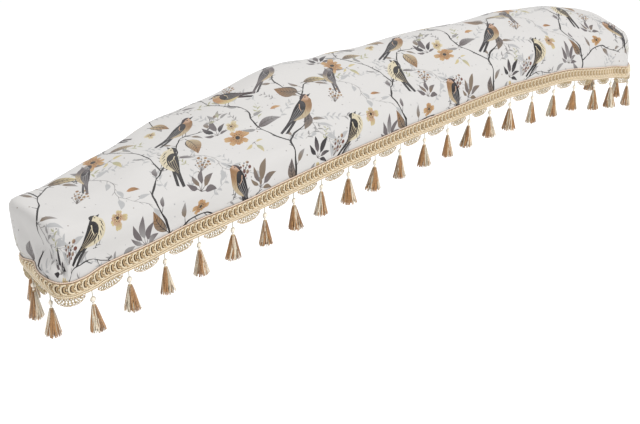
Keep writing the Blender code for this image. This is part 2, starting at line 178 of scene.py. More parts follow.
# Small gathers over the braid: spacing, height, and where they are highest above it
PUCKER_STEP = 0.036
PUCKER_HEIGHT = 0.0010
PUCKER_AT = 0.020
PUCKER_REACH = 0.014
PUCKER_DRIFT = 0.23  # length over which their spacing changes
PUCKER_UNEVEN = 0.37  # length over which their height changes
FINE_FADE = 0.02  # the creases fade out within this height over the braid

# Spacing of the cloth's mesh
GRID = 0.0084
GRID_INSIDE = 0.020
HEM_STEP = 0.005
SLOPE_STEP = 0.0015
MERGE = 0.00001
CLOTH_FACE = 0.0014  # from the outer to the inner face
TOP_SLOPE_STEP = 0.002

# Search for the outline point nearest to each flat point: points at once, rounds, longest move in a
# round, and the least share to which a bend of the outline may shrink a distance along it
NEAR_BATCH = 4000
NEAR_ROUNDS = 8
NEAR_MOVE = 0.01
LEAST_STRETCH = 0.2

# Flat length of the rounded edge, and how full its curve is
EDGE_SPAN = 0.033
EDGE_FULLNESS = 1.1
# Places on the outline where the edge is drawn tighter over a corner
# Columns: x, y, reach, fullness
TIGHT = (
    (-0.822, 0.006, 0.1, 0.8),
    (-0.842, -0.08, 0.06, 0.3),
    (0.85, 0.125, 0.1, 0.3),
    (0.88, -0.208, 0.06, 0.2),
)


def unit(v):
    return v / np.maximum(np.linalg.norm(v, axis=-1, keepdims=True), TINY)


def along_line(x, xs, points):
    """Places on a line of points, each of which stands for one station of xs."""
    return np.stack([np.interp(x, xs, points[:, k]) for k in range(points.shape[1])], -1)


def headed(uv, angle):
    """How far flat points lie along a heading in degrees, and across it."""
    c, s = math.cos(math.radians(angle)), math.sin(math.radians(angle))
    return uv[:, 0] * c + uv[:, 1] * s, -uv[:, 0] * s + uv[:, 1] * c


def column(table, names, name):
    return np.array([row[names.index(name)] for row in table])


def smooth(x, xs, ys):
    """Values of ys between the stations xs, on a smooth curve through them."""
    x = np.clip(x, xs[0], xs[-1])
    slope = np.gradient(ys, xs)
    i = np.clip(np.searchsorted(xs, x) - 1, 0, len(xs) - 2)
    h = xs[i + 1] - xs[i]
    t = (x - xs[i]) / h
    start = (2 * t**3 - 3 * t**2 + 1) * ys[i] + (t**3 - 2 * t**2 + t) * h * slope[i]
    end = (3 * t**2 - 2 * t**3) * ys[i + 1] + (t**3 - t**2) * h * slope[i + 1]
    return start + end


def section(name, x):
    xs = column(SECTIONS, SECTION_COLUMNS, "x")
    return smooth(x, xs, column(SECTIONS, SECTION_COLUMNS, name))


def fillet(before, corner, after, radius):
    """Points of the arc that rounds one corner of the outline."""
    u = unit(before - corner)
    v = unit(after - corner)
    half = math.acos(float(u @ v)) / 2
    start = corner + u * radius / math.tan(half)
    end = corner + v * radius / math.tan(half)
    centre = corner + unit(u + v) * radius / math.sin(half)
    first = math.atan2(*(start - centre)[::-1])
    turn = math.atan2(*(end - centre)[::-1]) - first
    turn = (turn + math.pi) % (2 * math.pi) - math.pi
    count = max(2, math.ceil(radius * abs(turn) / LINE_STEP))
    angles = np.linspace(first, first + turn, count + 1)
    return centre + radius * np.stack([np.cos(angles), np.sin(angles)], -1)


def outline():
    """The top's outline as close points, and the distance along it of each point."""
    corners = np.array([row[:2] for row in OUTLINE])
    radii = column(OUTLINE, OUTLINE_COLUMNS, "radius")
    count = len(corners)
    arcs = [fillet(corners[k - 1], corners[k], corners[(k + 1) % count], radii[k]) for k in range(count)]
    rough = np.vstack(arcs + [arcs[0][:1]])
    length = np.linalg.norm(np.diff(rough, axis=0), axis=1)
    apart = length > 0
    rough = rough[np.r_[True, apart]]
    along = np.r_[0, np.cumsum(length[apart])]
    even = np.linspace(0, along[-1], math.ceil(along[-1] / LINE_STEP))
    return along_line(even, along, rough), even


LINE, ALONG = outline()
PERIMETER = ALONG[-1]


def on_outline(a):
    return along_line(np.mod(a, PERIMETER), ALONG, LINE)


def outward(a):
    """The horizontal direction that points out of the outline at the distance a along it."""
    t = unit(on_outline(a + NORMAL_STEP) - on_outline(a - NORMAL_STEP))
    return np.stack([t[..., 1], -t[..., 0]], -1)


def nearest_along(x, y):
    return ALONG[np.argmin((LINE[:, 0] - x) ** 2 + (LINE[:, 1] - y) ** 2)]


def outline_side(front):
    facing = outward(ALONG)[:, 1]
    side = LINE[facing < -SIDE_FACING] if front else LINE[facing > SIDE_FACING]
    return side[np.argsort(side[:, 0])]


FRONT_SIDE = outline_side(True)
BACK_SIDE = outline_side(False)


def top_height(x, y):
    """Height of the top: an arch that falls from the ridge to both sides."""
    ridge = section("ridge", x)
    ridge_y = section("ridge_y", x)
    front_y = np.interp(x, *FRONT_SIDE.T)
    back_y = np.interp(x, *BACK_SIDE.T)
    to_front = np.clip((ridge_y - y) / (ridge_y - front_y), 0, CROWN_REACH)
    to_back = np.clip((y - ridge_y) / (back_y - ridge_y), 0, CROWN_REACH)
    fall_front = (ridge - section("front", x)) * to_front**CROWN_POWER
    fall_back = (ridge - section("back", x)) * to_back**CROWN_POWER
    return ridge - fall_front - fall_back


def near_corner(p, name):
    """What the hem's corners add at the outline point p: a sum of soft bumps."""
    total = 0.0
    for row in CORNERS:
        x, y, reach = row[:3]
        r2 = (p[..., 0] - x) ** 2 + (p[..., 1] - y) ** 2
        total = total + row[CORNER_COLUMNS.index(name)] * np.exp(-r2 / reach**2)
    return total


def hem_height(p):
    return section("hem", p[..., 0]) - near_corner(p, "drop")


def soft_step(t):
    t = np.clip(t, 0, 1)
    return t**2 * (3 - 2 * t)


def around(distance):
    """The shorter way round the outline: a distance brought to between plus and minus half."""
    return (distance + PERIMETER / 2) % PERIMETER - PERIMETER / 2


def folds(a, t):
    """How far the wall's folds stand out at the distance a along the outline, height share t."""
    total = np.zeros(np.broadcast(a, t).shape)
    for x, y, width, depth, shift, foot, head in FOLDS:
        away = around(a - nearest_along(x, y) - shift * (t - 0.5))
        fade = soft_step((t - foot) / FADE_FOOT + 1) * soft_step((head - t) / FADE_HEAD)
        total += depth * np.exp(-((away / width) ** 2)) * fade
    return total


def wall(a, z):
    """Point of the cloth's outer face on the wall, at the height z."""
    p = on_outline(a)
    hem = hem_height(p)
    share = np.clip((z - hem) / (top_height(p[..., 0], p[..., 1]) - ROLL - hem), 0, 1)
    lean = (FLARE + near_corner(p, "lean")) * (1 - share)
    xy = p + outward(a) * (lean + folds(a, share))[..., None]
    return np.concatenate([xy, z[..., None]], -1)


LIFT = CLOTH - float(top_height(np.array(0.0), np.array(0.0)))
EDGE_OUT = EDGE_SPAN - ROLL  # flat distance outside the outline at which the wall begins


def wall_top(a):
    p = on_outline(a)
    return top_height(p[..., 0], p[..., 1]) - ROLL


def hem_flat(a):
    """Flat distance of the hem outside the outline."""
    return EDGE_OUT + wall_top(a) - hem_height(on_outline(a))


def rounded_edge(a, f):
    """The edge between the top and the wall: a curve that leaves the top's slope and meets the wall's."""
    n = outward(a)
    p = on_outline(a)
    start = p - n * ROLL
    inner = start - n * TOP_SLOPE_STEP
    z_start = top_height(start[:, 0], start[:, 1])
    slope = (top_height(inner[:, 0], inner[:, 1]) - z_start) / TOP_SLOPE_STEP
    z_end = wall_top(a)
    height = z_end - hem_height(p)
    lean = (FLARE + near_corner(p, "lean")) / height
    drop = z_start - z_end
    fullness = EDGE_FULLNESS
    for x, y, near, more in TIGHT:
        fullness = fullness + more * np.exp(-((p[:, 0] - x) ** 2 + (p[:, 1] - y) ** 2) / near**2)
    reach = fullness * np.hypot(ROLL, drop)
    t = (f + ROLL) / EDGE_SPAN
    h00 = 2 * t**3 - 3 * t**2 + 1
    h10 = t**3 - 2 * t**2 + t
    h11 = t**3 - t**2
    size_start = np.hypot(1, slope)
    size_end = np.hypot(1, lean)
    out = -ROLL * h00 + reach * (h10 / size_start + h11 * lean / size_end)
    z = z_start * h00 + z_end * (1 - h00) - reach * (h10 * slope / size_start + h11 / size_end)
    return np.concatenate([p + n * out[:, None], z[:, None]], -1)


def follow(uv, a):
    """A better guess than a of the distance along the outline at which each flat point is square to it."""
    n = outward(a)
    t = np.stack([-n[:, 1], n[:, 0]], -1)
    turn = (outward(a + LINE_STEP) - outward(a - LINE_STEP)) / (2 * LINE_STEP)
    away = uv - on_outline(a)
    stretch = 1 + (away * n).sum(-1) * (turn * t).sum(-1)
    move = (away * t).sum(-1) / np.maximum(stretch, LEAST_STRETCH)
    return a + np.clip(move, -NEAR_MOVE, NEAR_MOVE)


def find_along(uv):
    """Distance along the outline of each flat point's nearest outline point."""
    a = np.empty(len(uv))
    for k in range(0, len(uv), NEAR_BATCH):
        gap = ((uv[k : k + NEAR_BATCH, None] - LINE[None]) ** 2).sum(-1)
        a[k : k + NEAR_BATCH] = ALONG[np.argmin(gap, 1)]
    for _ in range(NEAR_ROUNDS):
        a = follow(uv, a)
    return a


def plain_surface(uv, a):
    """Points of the cloth's outer face, before its fine creases, above the hem's level."""
    f = ((uv - on_outline(a)) * outward(a)).sum(-1)
    out = np.concatenate([uv, top_height(uv[:, 0], uv[:, 1])[:, None]], -1)
    edge = (f > -ROLL) & (f <= EDGE_OUT)
    out[edge] = rounded_edge(a[edge], f[edge])
    low = f > EDGE_OUT
    out[low] = wall(a[low], wall_top(a[low]) - (f[low] - EDGE_OUT))
    return out


def crease_height(uv):
    total = np.zeros(len(uv))
    for u, v, angle, length, width, height, bow in CREASES:
        along, across = headed(uv - (u, v), angle)
        across = across + bow * along**2
        total += height * np.exp(-((along / length) ** 2) - (across / width) ** 2)
    for k, (length, angle, height) in enumerate(WAVES):
        along, across = headed(uv, angle)
        total += height * np.sin(2 * math.pi * along / length + 3 * np.sin(across / length * 1.7 + k))
    return total


def puckers(a, over_braid):
    """Small gathers of the cloth where it is sewn to the braid."""
    phase = 2 * math.pi * a / PUCKER_STEP + 2 * np.sin(2 * math.pi * a / PUCKER_DRIFT)
    uneven = 0.6 + 0.4 * np.sin(2 * math.pi * a / PUCKER_UNEVEN + 1)
    return PUCKER_HEIGHT * uneven * np.sin(phase) * np.exp(-(((over_braid - PUCKER_AT) / PUCKER_REACH) ** 2))


def surface(uv):
    """Points of the cloth's outer face and its directions outward, in the frame of the model."""
    a = find_along(uv)
    at = plain_surface(uv, a)
    moves = ((SLOPE_STEP, 0), (0, SLOPE_STEP))
    across = [plain_surface(uv + move, follow(uv + move, a)) - at for move in moves]
    n = unit(np.cross(*across))
    f = ((uv - on_outline(a)) * outward(a)).sum(-1)
    over_braid = hem_flat(a) - BRAID - f
    height = (crease_height(uv) + puckers(a, over_braid)) * soft_step(over_braid / FINE_FADE)
    at = at + n * height[:, None]
    return at + (0, 0, LIFT), n


# The print. Inks are red, green and blue from 0 to 255.
INKS = {
    "paper": (219, 217, 215),
    "bark": (26, 21, 21),
    "twig": (84, 75, 72),
    "slate": (44, 39, 43),
    "mauve": (104, 95, 96),
    "haze": (150, 147, 146),
    "mist": (184, 184, 184),
    "sage": (176, 174, 142),
    "tan": (126, 108, 90),
    "fawn": (188, 170, 138),
    "ochre": (146, 106, 66),
    "amber": (180, 130, 82),
    "honey": (198, 162, 114),
    "peach": (196, 160, 134),
    "straw": (204, 188, 140),
    "umber": (48, 32, 26),
    "plum": (62, 42, 44),
    "soot": (16, 13, 15),
    "cream": (218, 206, 176),
    "rust": (108, 64, 52),
}
DYE = 0.82  # share of each ink's brightness that the dyed cloth keeps
TILE = 0.64  # length of one repeat of the print along the cloth
FIRST_TILE = -0.98
TILES = 4
BARE_EDGE = (-0.82, -0.06)  # no motif of the print is centred within this reach of the place
BARE_REACH = 0.09

# Motifs stand upright on the front wall. Over the top they turn and grow longer along one diagonal.
TOP_FROM = -0.205
TOP_BLEND = 0.05
TURN_WALL = 13
TURN_TOP = 42
STRETCH_ANGLE = 40
BIRD_STRETCH = 1.8
FLOWER_STRETCH = 1.5
LEAF_STRETCH = 1.6

# Branches: breadth at the start and at the end, how many leaves, their ink, and points along it.
# Columns: start, end, leaves, ink, points
BRANCHES = (
    (0.0054, 0.0024, 5, "tan", ((-0.03, -0.31), (0.03, -0.22), (0.06, -0.13), (0.15, -0.09), (0.2, -0.02))),
    (0.0026, 0.0014, 4, "tan", ((0.2, -0.02), (0.25, 0.015), (0.3, 0.00), (0.345, 0.03))),
    (0.0036, 0.0015, 7, "haze",
     ((0.06, -0.13), (0.045, -0.05), (0.075, 0.02), (0.045, 0.09), (0.06, 0.16), (0.02, 0.23))),
    (0.0034, 0.0015, 4, "tan", ((0.2, -0.02), (0.2, 0.06), (0.24, 0.12), (0.23, 0.2), (0.27, 0.29))),
    (0.0052, 0.0022, 4, "mauve",
     ((0.31, -0.31), (0.365, -0.22), (0.355, -0.14), (0.42, -0.08), (0.48, -0.05))),
    (0.0026, 0.0014, 4, "tan", ((0.48, -0.05), (0.54, 0.01), (0.6, 0.00), (0.64, 0.04))),
    (0.0032, 0.0014, 6, "haze", ((0.42, -0.08), (0.435, 0.00), (0.405, 0.07), (0.445, 0.13), (0.43, 0.2))),
    (0.003, 0.0013, 5, "tan", ((0.365, -0.22), (0.44, -0.2), (0.51, -0.225), (0.585, -0.2))),
    (0.0026, 0.0011, 5, "haze", ((0.03, -0.22), (0.11, -0.225), (0.19, -0.205), (0.26, -0.23))),
    (0.0036, 0.0015, 3, "tan", ((0.575, 0.31), (0.545, 0.23), (0.575, 0.16), (0.545, 0.1))),
    (0.0022, 0.0011, 5, "haze", ((0.545, 0.23), (0.48, 0.255), (0.4, 0.25), (0.34, 0.27))),
    (0.0024, 0.0012, 4, "mauve", ((0.575, 0.16), (0.63, 0.13), (0.7, 0.16))),
    (0.0018, 0.0009, 6, "mist", ((0.3, 0.00), (0.33, -0.05), (0.31, -0.1), (0.345, -0.15))),
    (0.0016, 0.0008, 5, "mist", ((0.15, -0.09), (0.13, -0.15), (0.17, -0.18))),
    (0.0016, 0.0008, 6, "mist", ((0.48, -0.05), (0.53, -0.09), (0.52, -0.14), (0.57, -0.16))),
    (0.0016, 0.0008, 6, "mist", ((0.245, 0.12), (0.31, 0.14), (0.36, 0.12))),
)
# Birds stand with their feet at x, y. Some face left, and some look back over their shoulder.
# Columns: x, y, angle, length, left, look back, coat
BIRDS = (
    (0.14, -0.094, 50, 0.118, False, False, "ochre"),
    (0.06, 0.055, -4, 0.112, True, False, "plum"),
    (0.205, 0.075, 62, 0.108, False, True, "mauve"),
    (0.425, -0.076, 56, 0.116, True, False, "streaked"),
    (0.55, 0.012, 46, 0.112, False, False, "ochre"),
    (0.425, 0.11, 8, 0.106, True, False, "plum"),
    (0.288, -0.004, 64, 0.09, True, True, "mauve"),
    (0.215, -0.186, 56, 0.1, False, False, "streaked"),
    (0.515, -0.19, 52, 0.1, True, False, "ochre"),
    (0.56, 0.16, 52, 0.106, False, False, "mauve"),
    (0.23, 0.185, 30, 0.106, True, False, "ochre"),
    (0.44, 0.24, 40, 0.106, False, False, "plum"),
    (0.05, 0.2, 50, 0.106, False, False, "streaked"),
)
# Coats of the birds: inks of the back, wing, breast, belly, cap and cheek
COATS = {
    "ochre": ("slate", "soot", "ochre", "fawn", "plum", "peach"),
    "plum": ("plum", "soot", "amber", "straw", "plum", "fawn"),
    "mauve": ("mauve", "slate", "mauve", "fawn", "slate", "haze"),
    "streaked": ("bark", "soot", "cream", "cream", "soot", "cream"),
}
# Columns: x, y, radius, petals, turn, near, far, heart
FLOWERS = (
    (0.362, 0.046, 0.034, 8, 10, "amber", "honey", "umber"),
    (0.625, -0.06, 0.031, 7, 40, "amber", "honey", "umber"),
    (0.27, -0.15, 0.02, 5, 20, "peach", "straw", "rust"),
    (0.005, -0.02, 0.02, 5, 0, "straw", "cream", "ochre"),
    (0.47, 0.185, 0.026, 7, 70, "amber", "peach", "umber"),
    (0.1, -0.215, 0.017, 6, 50, "honey", "straw", "ochre"),
    (0.13, 0.215, 0.022, 6, 30, "peach", "cream", "rust"),
    (0.44, -0.185, 0.019, 6, 15, "amber", "honey", "umber"),
    (0.52, 0.075, 0.017, 5, 60, "straw", "cream", "ochre"),
)
# Sprays of a few leaves from one place
# Columns: x, y, angle, length, leaves, near, far
SPRAYS = (
    (0.35, 0.075, 100, 0.04, 5, "slate", "mauve"),
    (0.325, 0.01, 200, 0.036, 4, "mauve", "haze"),
    (0.6, -0.03, 110, 0.038, 5, "slate", "mauve"),
    (0.64, -0.09, -50, 0.03, 3, "sage", "straw"),
    (0.38, 0.02, -40, 0.03, 3, "sage", "straw"),
    (0.1, -0.19, 60, 0.036, 5, "mauve", "slate"),
    (0.445, -0.16, 95, 0.034, 5, "tan", "mauve"),
    (0.31, -0.215, 80, 0.04, 6, "haze", "mauve"),
    (0.58, -0.195, 70, 0.04, 5, "mauve", "tan"),
    (0.47, 0.215, 60, 0.034, 5, "slate", "mauve"),
    (0.13, 0.24, 60, 0.034, 5, "mauve", "haze"),
    (0.005, 0.02, 120, 0.032, 4, "sage", "haze"),
)
# Columns: x, y, angle, length, width, near, far, veins
LEAVES = (
    (0.205, -0.004, 168, 0.058, 0.034, "tan", "ochre", 5),
    (0.16, -0.078, -100, 0.044, 0.02, "mauve", "tan", 3),
    (0.245, 0.02, 14, 0.06, 0.019, "tan", "straw", 4),
    (0.545, -0.004, -58, 0.056, 0.032, "fawn", "ochre", 5),
    (0.475, -0.048, -104, 0.042, 0.019, "slate", "mauve", 3),
    (0.045, -0.055, 28, 0.056, 0.02, "mauve", "haze", 4),
    (0.41, 0.06, 22, 0.054, 0.019, "tan", "fawn", 4),
    (0.03, -0.215, 100, 0.046, 0.02, "tan", "mauve", 4),
    (0.36, -0.205, 128, 0.048, 0.021, "tan", "ochre", 4),
    (0.545, 0.11, -20, 0.05, 0.02, "fawn", "ochre", 4),
    (0.235, 0.15, 180, 0.048, 0.018, "tan", "straw", 4),
    (0.02, 0.24, 120, 0.048, 0.018, "mauve", "slate", 4),
    (0.33, -0.095, 12, 0.026, 0.009, "amber", "ochre", 0),
    (0.11, -0.02, 16, 0.026, 0.009, "amber", "honey", 0),
    (0.5, 0.13, 30, 0.026, 0.009, "ochre", "amber", 0),
    (0.6, -0.235, 40, 0.03, 0.011, "slate", "bark", 0),
)
# Columns: x, y, radius, count, first, second
BERRIES = (
    (0.262, -0.055, 0.017, 15, "ochre", "plum"),
    (0.16, -0.178, 0.015, 13, "rust", "umber"),
    (0.5, -0.1, 0.017, 15, "ochre", "soot"),
    (0.385, -0.262, 0.016, 12, "plum", "amber"),
    (0.12, 0.12, 0.017, 15, "ochre", "umber"),
    (0.37, 0.175, 0.017, 14, "plum", "amber"),
    (0.56, -0.15, 0.014, 12, "rust", "soot"),
    (0.03, 0.27, 0.017, 12, "soot", "ochre"),
)
LEAF_BEND = 0.10  # of its length
KINK_STEP = 0.016  # spacing of a branch's kinks
KINK = 0.0013  # how far they stand aside
# Faint sprigs and dots, spread evenly behind the rest
SPRIGS = 64
SPRIG_LEAVES = 6
SPRIG_LENGTH = (0.034, 0.06)
SPRIG_INKS = ("mist", "mist", "haze", "mist", "sage")
DOTS = 240
DOT_RADIUS = (0.0008, 0.0019)
DOT_INKS = ("mist", "haze", "mist", "tan", "haze")
SPREAD = (0.618034, 0.754878)  # steps that fill the tile evenly, as shares of its length and breadth
PRINT_HALF = 0.29  # half the breadth of the printed cloth

# A petal that points along X, as long as its flower's radius
PETAL = (
    (0.1, 0.00), (0.3, 0.2), (0.62, 0.36), (0.92, 0.3), (1.00, 0.1),
    (0.93, 0.00), (1.00, -0.12), (0.88, -0.32), (0.6, -0.34), (0.3, -0.18),
)
# A bird facing right along X, in shares of its length
BIRD_TAIL = ((-0.18, 0.05), (-0.42, 0.01), (-0.62, -0.01), (-0.61, -0.06), (-0.4, -0.055), (-0.2, -0.05))
BIRD_TAIL_UNDER = (
    (-0.18, -0.03), (-0.38, -0.065), (-0.57, -0.1), (-0.53, -0.14), (-0.33, -0.11), (-0.18, -0.08),
)
BIRD_BODY = (
    (0.315, 0.03), (0.27, -0.06), (0.19, -0.14), (0.07, -0.19), (-0.07, -0.175), (-0.19, -0.11),
    (-0.28, -0.03), (-0.27, 0.02), (-0.16, 0.08), (-0.02, 0.12), (0.1, 0.145), (0.2, 0.15),
)
BIRD_BELLY = (
    (0.24, -0.085), (0.17, -0.145), (0.06, -0.185), (-0.07, -0.17), (-0.19, -0.1), (-0.08, -0.085),
    (0.06, -0.085), (0.16, -0.05),
)
BIRD_MANTLE = (
    (0.2, 0.155), (0.1, 0.148), (-0.02, 0.122), (-0.16, 0.082), (-0.26, 0.03), (-0.12, 0.04),
    (0.04, 0.07), (0.16, 0.09),
)
BIRD_HEAD = (
    (0.15, 0.11), (0.165, 0.165), (0.215, 0.2), (0.275, 0.195), (0.325, 0.155), (0.335, 0.1),
    (0.305, 0.035), (0.235, 0.01), (0.17, 0.04),
)
BIRD_CAP = (
    (0.14, 0.12), (0.165, 0.175), (0.22, 0.208), (0.28, 0.2), (0.338, 0.14), (0.28, 0.142), (0.21, 0.13),
)
BIRD_CHEEK = ((0.325, 0.085), (0.27, 0.115), (0.215, 0.1), (0.205, 0.05), (0.25, 0.02), (0.3, 0.045))
BIRD_BEAK = ((0.322, 0.128), (0.415, 0.085), (0.322, 0.07))
BIRD_WING = (
    (0.165, 0.1), (0.15, 0.0), (0.06, -0.07), (-0.07, -0.09), (-0.22, -0.055), (-0.42, -0.015),
    (-0.26, 0.045), (-0.1, 0.105), (0.06, 0.14),
)
BIRD_COVERTS = ((0.155, 0.09), (0.135, 0.01), (0.06, -0.045), (-0.03, -0.03), (0.01, 0.05), (0.08, 0.115))
BIRD_FEATHERS = (
    ((0.03, -0.05), (-0.1, -0.065), (-0.26, -0.04)),
    ((0.00, -0.015), (-0.12, -0.035), (-0.32, -0.022)),
    ((0.00, 0.025), (-0.13, 0.005), (-0.34, -0.008)),
    ((0.02, 0.065), (-0.11, 0.045), (-0.27, 0.02)),
)
BIRD_WING_BAR = ((0.07, 0.095), (0.005, 0.035), (-0.02, -0.04))
BIRD_BROW = ((0.328, 0.122), (0.26, 0.14), (0.17, 0.115))
BIRD_EYE = (0.268, 0.112)
BIRD_NECK = 0.235
BIRD_HIPS = ((0.03, -0.17), (-0.04, -0.16))
BIRD_LEGS = 0.11
BIRD_STREAKS = (
    ((0.23, -0.02), (0.19, -0.09)), ((0.17, -0.05), (0.13, -0.13)), ((0.1, -0.08), (0.06, -0.15)),
    ((0.03, -0.1), (-0.02, -0.16)), ((0.25, 0.02), (0.245, -0.04)), ((-0.05, -0.1), (-0.1, -0.14)),
)


class Print:
    """The shapes of the print, in painting order: flat outlines, each shaded from one ink to another."""

    def __init__(self):
        self.outlines = []
        self.shades = []
        self.centres = []
        self.settle(0, 0, False)

    def settle(self, x, y, upright, stretch=1.0):
        """Lays the next shapes about x, y. Upright motifs turn and stretch over the top."""
        self.centre = np.array((x, y))
        on_top = float(soft_step((y - TOP_FROM) / TOP_BLEND))
        grow = 1 + (stretch - 1) * on_top
        heading = math.radians(STRETCH_ANGLE)
        diagonal = np.array((math.cos(heading), math.sin(heading)))
        turn = -math.radians(TURN_WALL + (TURN_TOP - TURN_WALL) * on_top) if upright else 0.0
        turned_by = np.array(((math.cos(turn), -math.sin(turn)), (math.sin(turn), math.cos(turn))))
        self.lay = grow**-0.3 * (np.eye(2) + (grow - 1) * np.outer(diagonal, diagonal)) @ turned_by

    def paint(self, points, near, far=None, start=None, end=None):
        points = np.asarray(points, float)
        start = points[0] if start is None else start
        end = points[len(points) // 2] if end is None else end
        laid = [np.atleast_2d(p) @ self.lay.T + self.centre for p in (points, start, end)]
        self.outlines.append(laid[0])
        self.centres.append(self.centre)
        self.shades.append(np.r_[INKS[near], INKS[far or near], laid[1][0], laid[2][0]])


def spline(points, step, closed=False):
    """Close points on a smooth curve through a few."""
    p = np.asarray(points, float)
    if closed:
        p = np.vstack([p[-1:], p, p[:2]])
    else:
        p = np.vstack([2 * p[0] - p[1], p, 2 * p[-1] - p[-2]])
    out = []
    for a, b, c, d in zip(p[:-3], p[1:-2], p[2:-1], p[3:]):
        count = max(1, round(float(np.linalg.norm(c - b)) / step))
        t = (np.arange(count) / count)[:, None]
        bend = (2 * a - 5 * b + 4 * c - d) * t**2
        out.append((2 * b + (c - a) * t + bend + (3 * b - a - 3 * c + d) * t**3) / 2)
    if not closed:
        out.append(p[-2:-1])
    return np.vstack(out)


def turned(points, x, y, angle, size=1.0, flip=False):
    """Points scaled, turned by an angle in degrees, mirrored left to right if flip is set, and moved."""
    c, s = math.cos(math.radians(angle)) * size, math.sin(math.radians(angle)) * size
    p = np.atleast_2d(np.asarray(points, float)) @ np.array(((c, s), (-s, c)))
    return p * (-1 if flip else 1, 1) + (x, y)


def stroke(art, points, start, end, ink, far=None, step=0.007, knots=0.0):
    """A brush stroke along a smooth line, from one breadth to another."""
    line = spline(points, step)
    t = np.linspace(0, 1, len(line))
    half = (start + (end - start) * t) / 2
    half = half * (1 + knots * np.sin(37 * t + 90 * line[0][0]) * np.sin(11 * t))
    ahead = unit(np.gradient(line, axis=0))
    side = np.stack([-ahead[:, 1], ahead[:, 0]], -1) * half[:, None]
    art.paint(np.vstack([line + side, (line - side)[::-1]]), ink, far, line[0], line[-1])
    return line


def disc(art, x, y, radius, ink, far=None, sides=8):
    t = np.arange(sides) * 2 * math.pi / sides
    art.paint(np.stack([x + radius * np.cos(t), y + radius * np.sin(t)], -1), ink, far)


def leaf(art, x, y, angle, length, width, near, far, veins=0):
    """A pointed leaf from its stalk at x, y, a little bent, with a midrib and side veins if it is large."""
    t = np.linspace(0, 1, 6 if length < 0.04 else 11)
    half = width / 2 * np.sin(math.pi * t**0.8) ** 0.9 * (1.12 - 0.3 * t)
    bend = LEAF_BEND * length * np.sin(math.pi * t)
    upper = np.stack([t * length, bend + half], -1)
    lower = np.stack([t * length, bend - half], -1)[::-1]
    art.paint(turned(np.vstack([upper, lower[1:-1]]), x, y, angle), near, far)
    if not veins:
        return
    dark = "bark" if near in ("tan", "fawn", "slate") else "twig"
    art.paint(turned(np.vstack([lower * (1, 0.98), lower[::-1] * (1, 0.72)]), x, y, angle), near, dark)
    rib_t = np.linspace(-0.12, 0.97, 6)
    rib = np.stack([rib_t * length, LEAF_BEND * length * np.sin(math.pi * rib_t)], -1)
    stroke(art, turned(rib, x, y, angle), 0.0016, 0.0007, dark)
    for k in range(veins):
        share = 0.14 + 0.62 * k / veins
        for side in (-1, 1):
            root = (share * length, LEAF_BEND * length * math.sin(math.pi * share))
            reach = 0.36 * width * (1.1 - 0.7 * abs(share - 0.4))
            tip = (root[0] + 0.9 * reach, root[1] + side * reach)
            stroke(art, turned((root, tip), x, y, angle), 0.0009, 0.0004, dark, step=1)


def branch(art, start, end, leaves, ink, points):
    """A branch with knots and kinks, and leaves on short twigs to both sides."""
    art.settle(0, 0, False)
    pale = ink == "mist"
    wood = "haze" if pale else "bark"
    line = spline(points, KINK_STEP)
    sideways = (np.roll(line, -1, axis=0) - line)[1:-1, ::-1] * (-1, 1) / KINK_STEP
    line[1:-1] += KINK * sideways * np.sin(np.arange(1, len(line) - 1) * 2.3 + 70 * points[0][0])[:, None]
    line = stroke(art, line, start, end, wood, knots=0.4, step=0.008)
    for k in range(2 * leaves):
        share = 0.10 + 0.88 * k / max(2 * leaves - 1, 1)
        i = min(int(share * (len(line) - 1)), len(line) - 2)
        heading = math.degrees(math.atan2(*(line[i + 1] - line[i])[::-1]))
        angle = heading + (1 if k % 4 < 2 else -1) * (42 + 18 * math.sin(k))
        reach = 0.007 + 0.005 * abs(math.sin(1.3 * k))
        twig = turned(((0, 0), (reach, 0)), *line[i], angle)
        stroke(art, twig, 0.0013 if pale else 0.0020, 0.0009, wood, step=1)
        if k % 2:
            length = 0.021 + 0.010 * abs(math.sin(2.1 * k + 40 * points[0][0]))
            leaf(art, *twig[1], angle, length, 0.36 * length, ink, "mist" if pale else "haze")


def flower(art, x, y, radius, petals, turn, near, far, heart):
    """An open flower: two rings of notched and veined petals, and a heart of stamens."""
    art.settle(x, y, True, FLOWER_STRETCH)
    for k in range(2 * petals):
        inner = k >= petals
        size = radius * (0.80 + 0.20 * math.sin(1.7 * k + turn)) * (0.68 if inner else 1)
        angle = turn + 360 * (k + 0.5 * inner) / petals + 9 * math.sin(3 * k)
        shape = spline(np.array(PETAL) * (1, 3.8 / petals + 0.15), 0.35, closed=True)
        ends = turned(((0.05, 0), (0.95, 0)), 0, 0, angle, size)
        shade = (near, far) if not inner else ("ochre", near)
        art.paint(turned(shape, 0, 0, angle, size), *shade, *ends)
        for side in (-0.20, 0.02, 0.18):
            vein = turned(((0.25, side * 0.4), (0.8, side)), 0, 0, angle, size)
            stroke(art, vein, 0.0009, 0.0004, far if inner else "ochre", step=1)
    disc(art, 0, 0, 0.17 * radius, heart, "soot")
    for k in range(petals + 3):
        disc(art, *turned((0.30, 0.0), 0, 0, 360 * k / (petals + 3), radius)[0], 0.0011, heart, sides=5)


def spray(art, x, y, angle, length, leaves, near, far):
    """A few leaves spread from one place, the middle ones the longest."""
    art.settle(x, y, True, LEAF_STRETCH)
    for k in range(leaves):
        share = k / (leaves - 1) - 0.5
        long = length * (1 - 0.7 * abs(share) + 0.12 * math.sin(5 * k + 60 * x))
        heading = angle + 150 * share
        stalk = turned(((0, 0), (0.3 * long, 0)), 0, 0, heading)
        stroke(art, stalk, 0.0012, 0.0009, "twig", step=1)
        leaf(art, *stalk[1], heading, long, 0.34 * long, near if k % 2 else far, far)


